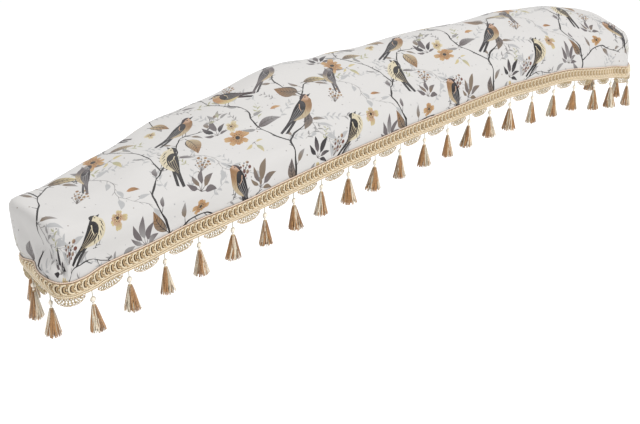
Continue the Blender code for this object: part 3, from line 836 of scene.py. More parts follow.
def berries(art, x, y, radius, count, first, second):
    """A loose head of small berries on thin stalks."""
    art.settle(x, y, True, LEAF_STRETCH)
    for k in range(count):
        away = radius * math.sqrt((k + 0.5) / count)
        at = (away * math.cos(2.4 * k), away * math.sin(2.4 * k))
        stroke(art, ((0, -1.5 * radius), at), 0.0007, 0.0005, "twig", step=1)
        inks = (first if k % 3 else second, "fawn" if k % 2 else None)
        disc(art, *at, 0.0018 + 0.0009 * (k % 3), *inks, sides=7)


def sprig(art, x, y, angle, length, ink):
    """A faint spray behind the rest: a thin stem with small leaves to both sides."""
    art.settle(x, y, True, LEAF_STRETCH)
    stem = np.array(((0, 0), (0.35, 0.05), (0.7, 0.02), (1, 0.10))) * length
    line = stroke(art, turned(stem, 0, 0, angle), 0.0010, 0.0006, ink)
    for k in range(SPRIG_LEAVES):
        i = int((0.2 + 0.78 * k / SPRIG_LEAVES) * (len(line) - 1))
        side = 1 if k % 2 else -1
        leaf(art, *line[i], angle + side * 48, 0.24 * length, 0.075 * length, ink, ink)


def bird(art, x, y, angle, length, left, look_back, coat):
    """A small bird that stands at x, y."""
    art.settle(x, y, True, BIRD_STRETCH)
    back, wing, breast, belly, cap, cheek = COATS[coat]
    hips = turned(BIRD_HIPS, 0, 0, angle, length, left)
    foot_x, foot_y = hips.mean(0) - (0, BIRD_LEGS * length)

    def at(points, head=False):
        points = np.atleast_2d(np.asarray(points, float))
        if head and look_back:
            points = points * (-1, 1) + (2 * BIRD_NECK, 0)
        return turned(points, -foot_x, -foot_y, angle, length, left)

    def fill(points, near, far, start, end, head=False, step=0.05):
        art.paint(at(spline(points, step, closed=True), head), near, far, *at((start, end)))

    def line(points, breadth, ink, head=False):
        stroke(art, at(points, head), breadth, breadth / 2, ink, step=0.02)

    for hip in BIRD_HIPS:
        leg = at(hip)[0]
        foot = leg - (0, BIRD_LEGS * length)
        stroke(art, (leg, foot), 0.0016, 0.0011, "bark", step=1)
        stroke(art, (foot - (0.004, 0.001), foot + (0.004, 0.001)), 0.0013, 0.0009, "bark", step=1)
    fill(BIRD_TAIL_UNDER, back, wing, (-0.2, 0), (-0.6, 0), step=1)
    fill(BIRD_TAIL, wing, back, (-0.2, 0), (-0.6, 0), step=1)
    fill(BIRD_BODY, breast, belly, (0.24, 0.06), (-0.10, -0.14))
    fill(BIRD_BELLY, belly, breast, (0.0, -0.17), (0.18, -0.05))
    for streak in BIRD_STREAKS:
        line(streak, 0.0020 if coat == "streaked" else 0.0009, "bark" if coat == "streaked" else breast)
    fill(BIRD_MANTLE, back, wing, (0.19, 0.12), (-0.2, 0.04))
    fill(BIRD_HEAD, cheek, breast, (0.22, 0.15), (0.20, 0.0), head=True)
    fill(BIRD_CAP, cap, back, (0.28, 0.18), (0.14, 0.12), head=True)
    fill(BIRD_CHEEK, cheek, breast, (0.24, 0.09), (0.20, 0.02), head=True)
    fill(BIRD_BEAK, "bark", "slate", (0.32, 0.1), (0.41, 0.09), head=True, step=1)
    fill(BIRD_WING, wing, back, (0.15, 0.06), (-0.35, 0.0))
    fill(BIRD_COVERTS, back, wing, (0.15, 0.06), (0.0, 0.0))
    for feather in BIRD_FEATHERS:
        line(feather, 0.0011, "haze" if coat != "streaked" else "fawn")
    line(BIRD_WING_BAR, 0.0024, cheek)
    line(BIRD_BROW, 0.0015, cheek, head=True)
    eye = at(BIRD_EYE, head=True)[0]
    disc(art, *eye, 0.024 * length, cheek)
    disc(art, *eye, 0.016 * length, "soot")


def draw_tile(art):
    for k in range(SPRIGS):
        x, y = (k * step % 1 for step in SPREAD)
        place = (TILE * x, PRINT_HALF * (2 * y - 1))
        length = SPRIG_LENGTH[0] + (SPRIG_LENGTH[1] - SPRIG_LENGTH[0]) * abs(math.sin(3 * k))
        sprig(art, *place, 75 + 75 * math.sin(7 * k), length, SPRIG_INKS[k % len(SPRIG_INKS)])
    for k in range(DOTS):
        x, y = ((k + 0.5) * step % 1 for step in SPREAD)
        art.settle(0, 0, False)
        radius = DOT_RADIUS[0] + (DOT_RADIUS[1] - DOT_RADIUS[0]) * abs(math.sin(5 * k))
        place = (TILE * x + 0.02 * math.sin(9 * k), PRINT_HALF * (2 * y - 1))
        disc(art, *place, radius, DOT_INKS[k % len(DOT_INKS)], sides=5)
    for row in BRANCHES:
        branch(art, *row)
    for row in BERRIES:
        berries(art, *row)
    for row in SPRAYS:
        spray(art, *row)
    for x, y, *row in LEAVES:
        art.settle(x, y, True, LEAF_STRETCH)
        leaf(art, 0, 0, *row)
    for row in FLOWERS:
        flower(art, *row)
    for row in BIRDS:
        bird(art, *row)


def triangulated(rim, outlines, grid):
    """Flat triangles that fill the rim and have edges along all the outlines: their points and corners."""
    points = [rim] + outlines + [grid]
    starts = np.cumsum([0] + [len(p) for p in points])
    edges = []
    for start, outline in zip(starts[1:], outlines):
        ends = np.arange(len(outline))
        edges += np.stack([start + ends, start + np.roll(ends, -1)], -1).tolist()
    flat = [Vector(p) for p in np.vstack(points)]
    made = delaunay_2d_cdt(flat, edges, [list(range(len(rim)))], 1, MERGE, True)
    corners = np.array([face for face, over in zip(made[2], made[5]) if over])
    used, corners = np.unique(corners, return_inverse=True)
    return np.array([tuple(p) for p in made[0]])[used], corners.reshape(-1, 3)


def inside(points, outline):
    """Which flat points an outline goes round, also where it crosses itself."""
    x, y = points.T
    wound = np.zeros(len(points), int)
    for (x0, y0), (x1, y1) in zip(outline, np.roll(outline, -1, axis=0)):
        left = (x1 - x0) * (y - y0) - (x - x0) * (y1 - y0)
        wound += (y0 <= y) & (y < y1) & (left > 0)
        wound -= (y1 <= y) & (y < y0) & (left < 0)
    return wound != 0


def topmost_outline(centres, outlines):
    """Number of the last outline over each flat point, or -1."""
    order = np.argsort(centres[:, 0])
    ranked = centres[order]
    top = np.full(len(centres), -1)
    for k, outline in enumerate(outlines):
        low, high = outline.min(0), outline.max(0)
        first, last = np.searchsorted(ranked[:, 0], (low[0], high[0]))
        v = ranked[first:last, 1]
        near = first + np.flatnonzero((v >= low[1]) & (v <= high[1]))
        top[order[near[inside(ranked[near], outline)]]] = k
    return top


def flat_grid(step, hem):
    """Points of a flat grid over the box of the hem, none close to it, in rows for even triangles."""
    low, high = hem.min(0), hem.max(0)
    near = KDTree(len(hem))
    for k, (u, v) in enumerate(hem):
        near.insert((u, v, 0), k)
    near.balance()
    rows = np.arange(low[1], high[1], step * math.sqrt(3) / 2)
    points = []
    for k, v in enumerate(rows):
        u = np.arange(low[0] + (k % 2) * step / 2, high[0], step)
        points += [(x, v) for x in u if near.find((x, v, 0))[2] > step / 2]
    return np.array(points)


def hem_loop(corners):
    """The vertices of the open edge of flat triangles, in order round it."""
    edges = np.vstack([corners[:, [0, 1]], corners[:, [1, 2]], corners[:, [2, 0]]])
    both = {tuple(edge) for edge in edges.tolist()}
    follow_on = {a: b for a, b in both if (b, a) not in both}
    loop = [next(iter(follow_on))]
    while follow_on[loop[-1]] != loop[0]:
        loop.append(follow_on[loop[-1]])
    return np.array(loop)


def hem_outline():
    a = np.arange(0, PERIMETER, HEM_STEP)
    return on_outline(a) + outward(a) * hem_flat(a)[:, None]


def print_shapes(hem):
    """The print over the whole cloth: one drawn tile, repeated along it."""
    tile = Print()
    draw_tile(tile)
    outlines, shades = [], []
    for k in range(TILES):
        move = np.array((FIRST_TILE + k * TILE, 0.0))
        for points, shade, centre in zip(tile.outlines, tile.shades, tile.centres):
            moved = points + move
            on_cloth = moved[:, 0].max() > hem[:, 0].min() and moved[:, 0].min() < hem[:, 0].max()
            if on_cloth and np.linalg.norm(centre + move - BARE_EDGE) > BARE_REACH:
                outlines.append(moved)
                shades.append(shade + np.r_[np.zeros(6), move, move])
    return outlines, np.array(shades)


def set_colours(mesh, name, domain, colours):
    """Stores red, green and blue from 0 to 255, with a fourth value from 0 to 1."""
    layer = mesh.color_attributes.new(name, "BYTE_COLOR", domain)
    values = np.asarray(colours, np.float32) / (255, 255, 255, 1)
    layer.data.foreach_set("color_srgb", values.astype(np.float32).ravel())


def linked(name, data):
    """A new object in the scene."""
    made = bpy.data.objects.new(name, data)
    bpy.context.scene.collection.objects.link(made)
    return made


def new_object(name, mesh, surface):
    mesh.materials.append(surface)
    return linked(name, mesh)


def make_cloth(surface_material):
    """The printed cloth: a fine outer face with the print in its corners' colours, and an inner face."""
    hem = hem_outline()
    outlines, shades = print_shapes(hem)
    uv, corners = triangulated(hem, outlines, flat_grid(GRID, hem))
    loop = hem_loop(corners)
    rim = uv[loop]
    inner_uv, inner_corners = triangulated(rim, [], flat_grid(GRID_INSIDE, hem))

    outer, _ = surface(uv)
    inner, n = surface(inner_uv)
    inner = inner - n * CLOTH_FACE
    inner_loop = hem_loop(inner_corners)
    first = int(np.argmin(np.linalg.norm(inner_uv[inner_loop] - rim[0], axis=1)))
    inner_loop = np.roll(inner_loop, -first) + len(outer)
    across = np.stack([loop, np.roll(loop, -1), np.roll(inner_loop, -1), inner_loop], -1)[:, ::-1]
    triangles = corners.tolist() + (inner_corners[:, ::-1] + len(outer)).tolist() + across.tolist()
    mesh = bpy.data.meshes.new("cover_print_cloth")
    mesh.from_pydata(np.vstack([outer, inner]), [], triangles)
    mesh.shade_smooth()

    paper = np.r_[INKS["paper"], 0.0]
    colours = np.tile(paper, (len(mesh.loops), 1))
    topmost = topmost_outline(uv[corners].mean(1), outlines)
    inked = topmost >= 0
    shade = shades[topmost[inked]]
    start, end = shade[:, 6:8], shade[:, 8:10]
    at = uv[corners[inked]]
    length2 = np.maximum(((end - start) ** 2).sum(-1), TINY)
    t = ((at - start[:, None]) * (end - start)[:, None]).sum(-1) / length2[:, None]
    t = soft_step(t)[..., None]
    ink = shade[:, None, 0:3] * (1 - t) + shade[:, None, 3:6] * t
    rows = (3 * np.flatnonzero(inked)[:, None] + np.arange(3)).ravel()
    colours[rows] = np.c_[ink.reshape(-1, 3), np.ones(len(rows))]
    colours[:, :3] *= DYE
    set_colours(mesh, "print", "CORNER", colours)
    return new_object("cover_print_cloth", mesh, surface_material)


# The trimming: places are s, metres along the hem, and h, height above the hem.
HEM_RING = wall(ALONG, hem_height(LINE))
HEM_S = np.r_[0, np.cumsum(np.linalg.norm(np.diff(HEM_RING, axis=0), axis=1))]
HEM_LENGTH = HEM_S[-1]
PITCH = HEM_LENGTH / TASSELS


def ring_outward(ring):
    """Horizontal directions out of the closed ring, whose last point is its first."""
    t = np.gradient(np.vstack([ring[-4:-1], ring, ring[1:4]]), axis=0)[3:-3]
    return unit(np.stack([t[:, 1], -t[:, 0]], -1))


HEM_OUT = ring_outward(HEM_RING[:, :2])


def hem_out(s):
    out = along_line(np.mod(s, HEM_LENGTH), HEM_S, HEM_OUT)
    return np.concatenate([out, np.zeros(out.shape[:-1] + (1,))], -1)


def on_trim(s, h, away):
    """Points outside the cloth: s along the hem, h above it, and away from the cloth's face."""
    s, h, away = np.broadcast_arrays(np.asarray(s, float), h, away)
    a = np.interp(np.mod(s, HEM_LENGTH), HEM_S, ALONG)
    at = wall(a, hem_height(on_outline(a)) + h)
    return at + hem_out(s) * away[..., None] + (0, 0, LIFT)


class Yarns:
    """One piece of many tubes: its points, four-cornered faces, tints and winding coordinates."""

    def __init__(self, name):
        self.name = name
        self.points = []
        self.faces = []
        self.tints = []
        self.winds = []
        self.count = 0

    def add(self, points, faces, tints, winds):
        self.points.append(points)
        self.faces.append(faces + self.count)
        self.tints.append(tints)
        self.winds.append(winds)
        self.count += len(points)

    def made(self, surface_material):
        mesh = bpy.data.meshes.new(self.name)
        mesh.from_pydata(np.vstack(self.points), [], np.vstack(self.faces).tolist())
        mesh.shade_smooth()
        set_colours(mesh, "tint", "POINT", np.c_[np.vstack(self.tints), np.ones(self.count)])
        wind = mesh.uv_layers.new(name="wind")
        wind.data.foreach_set("uv", np.vstack(self.winds).astype(np.float32).ravel())
        return new_object(self.name, mesh, surface_material)


def tubes(yarns, paths, radii, aside, sides, tints, closed=False):
    """Tubes along paths (n, p, 3). aside is a direction near square to each, tints are from 0 to 255."""
    paths = np.asarray(paths, float)
    n, p = paths.shape[:2]
    radii = np.broadcast_to(radii, (n, p))
    if closed:
        ahead = np.roll(paths, -1, 1) - np.roll(paths, 1, 1)
    else:
        ahead = np.gradient(paths, axis=1)
    ahead = unit(ahead)
    across = unit(np.cross(ahead, np.broadcast_to(aside, paths.shape)))
    over = np.cross(across, ahead)
    turn = np.arange(sides) * 2 * math.pi / sides
    ring = across[:, :, None] * np.cos(turn)[:, None] + over[:, :, None] * np.sin(turn)[:, None]
    points = (paths[:, :, None] + ring * radii[:, :, None, None]).reshape(-1, 3)

    start = (np.arange(n) * p * sides)[:, None, None]
    j = np.arange(p if closed else p - 1)[:, None]
    k = np.arange(sides)
    nj, nk = (j + 1) % p, (k + 1) % sides
    corners = [start + nj * sides + k, start + nj * sides + nk, start + j * sides + nk, start + j * sides + k]
    faces = np.stack([np.broadcast_to(c, (n, len(j), sides)) for c in corners], -1).reshape(-1, 4)
    length = np.linalg.norm(np.diff(paths, axis=1, append=paths[:, :1]), axis=-1)
    along = np.concatenate([np.zeros((n, 1)), np.cumsum(length, 1)], 1)[:, :, None]
    low = np.broadcast_to(along[:, : len(j)], (n, len(j), sides))
    high = np.broadcast_to(along[:, 1 : len(j) + 1], (n, len(j), sides))
    left = np.broadcast_to(k / sides, low.shape)
    right = left + 1 / sides
    wind = np.stack([high, left, high, right, low, right, low, left], -1).reshape(-1, 2)
    if not closed:
        cap = np.array([(0, m, m + 1, m + 2) for m in range(1, sides - 1, 2)])
        ends = np.concatenate([cap, (p - 1) * sides + cap[:, ::-1]])
        caps = (start[:, :, 0, None] + ends).reshape(-1, 4)
        faces = np.vstack([faces, caps])
        wind = np.vstack([wind, np.zeros((4 * len(caps), 2))])
    tints = np.broadcast_to(np.asarray(tints, float), (n, p, 3)).reshape(-1, 3).repeat(sides, axis=0)
    yarns.add(points, faces, tints, wind)


def sewn(yarns, s, h, away, radius, tint, sides=4, closed=False):
    """Tubes outside the cloth: s along the hem, h above it and away from the cloth's face."""
    tubes(yarns, on_trim(s, h, away), radius, hem_out(s), sides, YARN[tint], closed)


YARN = {
    "cream": (222, 206, 176),
    "blush": (216, 192, 170),
    "gold": (190, 162, 120),
    "dark_gold": (150, 120, 82),
    "brown": (96, 66, 46),
    "ground": (140, 114, 80),
    "grey": (180, 172, 152),
    "golden": (182, 134, 82),
    "bronze": (146, 104, 61),
    "silk": (238, 224, 200),
    "ash": (186, 174, 150),
    "thread": (184, 168, 132),
    "dull_gold": (166, 142, 100),
}

# Cords that run along the braid, by their height over the hem and distance out of the cloth
# Columns: height, out, radius, tint
CORDS = (
    (0.0280, 0.0020, 0.0012, "blush"),
    (0.0262, 0.0018, 0.0006, "brown"),
    (0.0250, 0.0020, 0.0008, "gold"),
    (0.0062, 0.0020, 0.0009, "gold"),
    (0.0047, 0.0020, 0.0010, "cream"),
    (0.0033, 0.0018, 0.0006, "dark_gold"),
    (0.0016, 0.0021, 0.0013, "cream"),
)
# The braid's main row: a cord that curls as an open C, thinner ones inside and behind it, and a knot
CURL_PITCH = 0.0120
CURL_LOW = 0.0078
CURL_HIGH = 0.0240
CURL = ((0.40, 0.98), (0.08, 1.00), (-0.26, 0.86), (-0.38, 0.50), (-0.26, 0.14), (0.08, 0.00), (0.40, 0.02))
KNOT = ((0.30, 0.40), (0.34, 0.50), (0.30, 0.60))
# Columns: shape, shift, share, out, radius, tint
CURL_CORDS = (
    (CURL, 0.00, 1.00, 0.0030, 0.0017, "cream"),
    (CURL, 0.30, 0.66, 0.0027, 0.0013, "gold"),
    (CURL, -0.30, 1.02, 0.0022, 0.0010, "gold"),
    (KNOT, 0.08, 1.00, 0.0028, 0.0013, "cream"),
)
CURL_STEP = 0.17  # spacing of a curl's points, as a share of its pitch
CURL_LIFT = 0.0006
CURL_UNEVEN = 0.05
BAND_HEIGHTS = (0.0004, 0.0095, 0.019, 0.0286)
BAND_THICK = 0.0008
BAND_STEPS = 640
CORD_STEPS = 520
CORD_WAVES = 170
CORD_WAVE = 0.00025


def band(yarns, heights, out, thick, tint):
    """A closed woven band round the hem, from the lowest to the highest of its heights."""
    s = np.linspace(0, HEM_LENGTH, BAND_STEPS, endpoint=False)
    ring = [(h, out) for h in heights] + [(h, out + thick) for h in heights[::-1]]
    points = np.stack([on_trim(s, h, away) for h, away in ring], 1)
    n, m = points.shape[:2]
    j = np.arange(n)[:, None] * m
    nj = np.roll(j, -1)
    k = np.arange(m)
    nk = np.roll(k, -1)
    faces = np.stack([j + k, j + nk, nj + nk, nj + k], -1).reshape(-1, 4)
    low, height = np.meshgrid(s, [h for h, _ in ring], indexing="ij")
    high = low + HEM_LENGTH / n
    above = np.roll(height, -1, axis=1)
    wind = np.stack([low, height, low, above, high, above, high, height], -1).reshape(-1, 2)
    yarns.add(points.reshape(-1, 3), faces, np.tile(YARN[tint], (n * m, 1)), wind)


def make_braid(surface_material):
    """The woven braid: a gold ground, a row of curled cords and plain cords along both edges."""
    yarns = Yarns("braid_woven")
    band(yarns, BAND_HEIGHTS, GAP, BAND_THICK, "ground")
    s = np.linspace(0, HEM_LENGTH, CORD_STEPS, endpoint=False)[None]
    waves = CORD_WAVE * np.sin(2 * math.pi * CORD_WAVES * s / HEM_LENGTH)
    for height, out, radius, tint in CORDS:
        sewn(yarns, s, height + waves, out, radius, tint, 6, closed=True)
    count = round(HEM_LENGTH / CURL_PITCH)
    pitch = HEM_LENGTH / count
    uneven = RANDOM.uniform(-CURL_UNEVEN, CURL_UNEVEN, (count, 1))
    base = np.arange(count)[:, None] * pitch
    for shape, shift, share, out, radius, tint in CURL_CORDS:
        curl = spline(shape, CURL_STEP)
        s = base + (shift + curl[:, 0] * share + uneven) * pitch
        h = CURL_LOW + (CURL_HIGH - CURL_LOW) * ((curl[:, 1] - 0.5) * share + 0.5)
        lift = out + CURL_LIFT * np.sin(math.pi * curl[:, 1])
        sewn(yarns, s, h, lift, radius, tint)
    return yarns.made(surface_material)


FAN_LOOPS = 9
FAN_WIDE = 0.68  # share of a tassel's pitch that a fan takes
# The cord that the fans hang from: its points, waves, their height, its drop and radius
HEADING_STEPS = 900
HEADING_WAVES = 450
HEADING_WAVE = 0.0006
HEADING_DROP = 0.0008
HEADING_RADIUS = 0.0010
LOOP_STEPS = 12
LOOP_RADIUS = 0.00095
LOOP_UNEVEN = 0.0006
LOOP_TOP = 0.0004
LOOP_SHORT = 0.0020  # a loop's tip stays this far inside the lace's depth
LOOP_CROSSING = 0.0006  # neighbours lie this far over and under the lace's middle
LOOP_TILT = 0.0003
SCALLOP_STEPS = 64
SCALLOP_TOP = 0.0022
SCALLOP_SHORT = 0.0030
SCALLOP_RADIUS = 0.0007
PICOTS = 11  # small bows along the edge of each fan
PICOT = 0.0011
INNER_SHARE = (0.72, 0.62)  # width and depth of the cord inside the fan's edge
INNER_WAVES = 9
INNER_RADIUS = 0.0006
INNER_AWAY = 0.0004


def make_lace(surface_material):
    """The lace fans: loops of thin cord under the braid, with a scalloped cord round them."""
    yarns = Yarns("lace_fans")
    fans = (np.arange(TASSELS) + 0.5) * PITCH + FIRST_TASSEL
    s = np.linspace(0, HEM_LENGTH, HEADING_STEPS, endpoint=False)[None]
    waves = HEADING_WAVE * np.sin(2 * math.pi * HEADING_WAVES * s / HEM_LENGTH)
    sewn(yarns, s, -HEADING_DROP + waves, TRIM_MIDDLE, HEADING_RADIUS, "gold", closed=True)
    t = np.linspace(0, 1, LOOP_STEPS)
    bow = np.sin(math.pi * t)
    for k in range(FAN_LOOPS):
        place = 2 * (k + 0.5) / FAN_LOOPS - 1
        depth = LACE_LONG * (1 - 0.60 * abs(place) ** 2.4) * (0.95 + 0.05 * math.cos(3 * k))
        root = 0.72 * place
        tip = 1.02 * place
        x = root + (tip - root) * bow + 0.085 * np.sin(2 * math.pi * t) * (1 + bow)
        s = fans[:, None] + x * FAN_WIDE * PITCH / 2
        h = -LOOP_TOP - (depth - LOOP_SHORT) * bow**0.8
        wobble = RANDOM.uniform(-LOOP_UNEVEN, LOOP_UNEVEN, (TASSELS, 1)) * bow
        out = TRIM_MIDDLE + LOOP_CROSSING * (1 if k % 2 else -1) + LOOP_TILT * np.cos(math.pi * t)
        sewn(yarns, s, h + wobble, out, LOOP_RADIUS, "thread" if k % 2 else "dull_gold")
    t = np.linspace(0, 1, SCALLOP_STEPS)
    x = 2 * t - 1
    edge = SCALLOP_TOP + (LACE_LONG - SCALLOP_SHORT) * (1 - np.abs(x) ** 2.6) ** 0.5
    picots = PICOT * np.abs(np.sin(math.pi * PICOTS * t))
    s = fans[:, None] + x * FAN_WIDE * PITCH / 2
    sewn(yarns, s, -edge - picots + HEADING_DROP, TRIM_MIDDLE, SCALLOP_RADIUS, "gold")
    inner = INNER_SHARE[1] * edge + HEADING_WAVE * np.sin(2 * math.pi * INNER_WAVES * t)
    s = fans[:, None] + INNER_SHARE[0] * x * FAN_WIDE * PITCH / 2
    sewn(yarns, s, -inner, TRIM_MIDDLE + INNER_AWAY, INNER_RADIUS, "gold")
    return yarns.made(surface_material)


BEAD_DEPTH = 0.0124
BEAD_RADIUS = 0.0042
SMALL_BEAD_DEPTH = 0.0206
SMALL_BEAD_RADIUS = 0.0023
PEARL = (222, 212, 196)
STRANDS = 88
SKIRT_TOP = 0.0228
SKIRT_LENGTH = (0.0468, 0.0508)
SKIRT_RADIUS = (0.0135, 0.0168)
SKIRT_FLAT = (0.72, 1.0)  # its depth as a share of its width
INNER_STRANDS = 0.34  # share of the strands that hang in an inner ring
INNER_RING = 0.72
GOLDEN_TURN = 2.39996  # spreads the strands evenly round the skirt
DULL_SHARE = 0.35
STRAND_RADIUS = (0.0007, 0.0004)  # at its top, and how much it swells
STRAND_START = 0.001
ASIDE_TURN = 0.001  # keeps the direction aside off a strand's own
CORE = (0.96, 0.80)  # length and width of the core as shares of the skirt's
SWING = 0.0022
SWING_DEPTH = 0.07
TOP_CORD = (-0.0045, 0.0125)  # first depth under the tassel's top, and length
BEAD_CORD = (0.0068, 0.0120)
TOP_CORD_RADIUS = 0.0009
BEAD_CORD_RADIUS = 0.0007
BEAD_CORD_OUT = 0.0006
KNOT_LENGTH = 0.0042
KNOT_RADIUS = 0.0026
KNOT_BULGE = 0.0009


def make_tassels(cord_material, bead_material, yarn_material):
    """The tassels: cords round a pearl bead, a small bead, a knot, and a bell-shaped skirt of yarns."""
    cords = Yarns("tassel_cords")
    beads = Yarns("tassel_beads")
    skirts = Yarns("tassel_skirts")
    s = (FIRST_TASSEL + np.arange(TASSELS) * PITCH) % HEM_LENGTH
    tops = on_trim(s, 0.0, TRIM_MIDDLE) - (0, 0, LACE_SHORT + TASSEL_DROP)
    out = hem_out(s)
    side = np.stack([-out[:, 1], out[:, 0], np.zeros(TASSELS)], -1)
    swing = RANDOM.normal(0, SWING, (TASSELS, 2))

    def hang(depth, away=0.0, aside=0.0):
        """Points under each tassel's top, swung a little with depth."""
        depth = np.atleast_2d(depth) + np.zeros((TASSELS, 1))
        share = (np.maximum(depth, 0.0) / SWING_DEPTH) ** 1.5
        base = tops[:, None] - depth[..., None] * (0, 0, 1)
        away = (away + swing[:, :1] * share)[..., None] * out[:, None]
        aside = (aside + swing[:, 1:] * share)[..., None] * side[:, None]
        return base + away + aside

    t = np.linspace(0, 1, 9)
    tubes(cords, hang(TOP_CORD[0] + TOP_CORD[1] * t), TOP_CORD_RADIUS, out[:, None], 6, YARN["grey"])
    for hand in (-1, 1):
        round_bead = hand * (BEAD_RADIUS + BEAD_CORD_OUT) * np.sin(math.pi * t) ** 0.7
        path = hang(BEAD_CORD[0] + BEAD_CORD[1] * t, 0.0, round_bead)
        tubes(cords, path, BEAD_CORD_RADIUS, out[:, None], 4, YARN["grey"])
    knot = KNOT_RADIUS + KNOT_BULGE * np.sin(math.pi * t) ** 0.5
    tubes(cords, hang(SKIRT_TOP + KNOT_LENGTH * t), knot, out[:, None], 8, YARN["gold"])
    angle = np.linspace(0, math.pi, 11)
    for depth, radius in ((BEAD_DEPTH, BEAD_RADIUS), (SMALL_BEAD_DEPTH, SMALL_BEAD_RADIUS)):
        profile = np.maximum(np.sin(angle), 0.02) * radius
        tubes(beads, hang(depth - radius * np.cos(angle)), profile, out[:, None], 12, PEARL)

    length = RANDOM.uniform(*SKIRT_LENGTH, (TASSELS, 1))
    wide = RANDOM.uniform(*SKIRT_RADIUS, (TASSELS, 1))
    flat = RANDOM.uniform(*SKIRT_FLAT, (TASSELS, 1))
    patch = RANDOM.uniform(0, 2 * math.pi, (TASSELS, 1))
    t = np.linspace(0, 1, 5)
    bell = 0.22 + 0.78 * (0.7 * t**0.75 + 0.3 * t**2)
    core = hang(SKIRT_TOP + length * t * CORE[0])
    tubes(skirts, core, wide * bell * CORE[1] * flat, out[:, None], 12, YARN["bronze"])
    for k in range(STRANDS):
        ring = 1.0 if k < (1 - INNER_STRANDS) * STRANDS else INNER_RING
        turn = GOLDEN_TURN * k + RANDOM.uniform(-0.15, 0.15, (TASSELS, 1)) + 0.25 * np.sin(3 * t + k)
        away = wide * bell * ring * RANDOM.uniform(0.90, 1.05, (TASSELS, 1))
        depth = SKIRT_TOP + STRAND_START + length * t * RANDOM.uniform(0.96, 1.02, (TASSELS, 1))
        path = hang(depth, away * flat * np.cos(turn), away * np.sin(turn))
        pick = RANDOM.random((TASSELS, 1, 1))
        pale = (np.sin(2 * turn[:, :1] + patch) + 0.9 * np.sin(7 * turn[:, :1] + 3 * patch) > 0.25)[..., None]
        outer = np.where(pick < DULL_SHARE, YARN["ash"], YARN["silk"])
        inner = np.where(pick < DULL_SHARE, YARN["bronze"], YARN["golden"])
        # Each strand's tint is darker towards its top and lighter towards its end.
        tint = np.where(pale, outer, inner) * (0.84 + 0.12 * t)[:, None]
        radius = STRAND_RADIUS[0] + STRAND_RADIUS[1] * np.sin(math.pi * np.minimum(t + 0.05, 0.75))
        tubes(skirts, path, radius, out[:, None] + ASIDE_TURN, 4, np.clip(tint, 0, 255))
    return cords.made(cord_material), beads.made(bead_material), skirts.made(yarn_material)


BUMP_HEIGHT = 0.0004
WASH = (0.16, 0.152, 0.149, 1)  # what the blotches of the inks fade to
WEAVE = ((260, 1500, 900), (1500, 260, 300))  # fineness of the warp's and weft's threads
PLIES = 2
GIMP_TWIST = 0.0032  # length of one turn of the plies
SILK_TWIST = 0.0050


def surface_nodes(name, **sockets):
    """A new material, its nodes and its main shader, with constants on some of the shader's sockets."""
    made = bpy.data.materials.new(name)
    made.use_nodes = True
    nodes = made.node_tree.nodes
    shader = nodes["Principled BSDF"]
    for socket, value in sockets.items():
        shader.inputs[socket.replace("_", " ")].default_value = value
    return made, nodes, shader


def connect(socket, value):
    """Links another node's output to a socket, or gives it a constant value."""
    if isinstance(value, bpy.types.NodeSocket):
        socket.id_data.links.new(value, socket)
    else:
        socket.default_value = value


def node(nodes, kind, output, **settings):
    """A new node's output. The settings are the node's own, and what its sockets take."""
    made = nodes.new("ShaderNode" + kind)
    for key, value in settings.items():
        socket = key.replace("_", " ")
        if socket in made.inputs:
            connect(made.inputs[socket], value)
        else:
            setattr(made, key, value)
    return made.outputs[output]


def calculated(nodes, operation, *values):
    """The result of a math node."""
    result = node(nodes, "Math", "Value", operation=operation)
    for socket, value in zip(result.node.inputs, values):
        connect(socket, value)
    return result


def mapped(nodes, value, old, new):
    """A value brought from an old range to a new one, and held at its ends."""
    ends = {"From_Min": old[0], "From_Max": old[1], "To_Min": new[0], "To_Max": new[1]}
    return node(nodes, "MapRange", "Result", Value=value, **ends)


def noise(nodes, place, scale, detail, **settings):
    return node(nodes, "TexNoise", "Fac", Vector=place, Scale=scale, Detail=detail, **settings)


def shade_tints(nodes, shader, share):
    """Gives the shader the mesh's tints, each times a share."""
    tint = node(nodes, "VertexColor", "Color", layer_name="tint")
    shaded = node(nodes, "VectorMath", "Vector", operation="SCALE", Vector=tint, Scale=share)
    connect(shader.inputs["Base Color"], shaded)


def emboss(nodes, shader, height, strength):
    bump = node(nodes, "Bump", "Normal", Height=height, Strength=strength, Distance=BUMP_HEIGHT)
    connect(shader.inputs["Normal"], bump)


def cloth_material():
    """Printed satin: inks in watercolour blotches, a fine even weave and a soft sheen."""
    made, nodes, shader = surface_nodes(
        "printed_satin", Roughness=0.55, Specular_IOR_Level=0.26, Sheen_Weight=0.08
    )
    place = node(nodes, "TexCoord", "Object")
    ink = node(nodes, "VertexColor", "Color", layer_name="print")
    blotch = mapped(nodes, noise(nodes, place, 95.0, 4.0, Roughness=0.6), (0.42, 0.72), (0.0, 0.12))
    share = calculated(nodes, "MULTIPLY", blotch, ink.node.outputs["Alpha"])
    washed = node(nodes, "Mix", "Result", data_type="RGBA", Factor=share, A=ink, B=WASH)
    connect(shader.inputs["Base Color"], washed)
    threads = []
    for scale in WEAVE:
        stretched = node(nodes, "Mapping", "Vector", Vector=place, Scale=scale)
        threads.append(noise(nodes, stretched, 1.0, 2.0))
    emboss(nodes, shader, calculated(nodes, "ADD", *threads), 0.18)
    return made


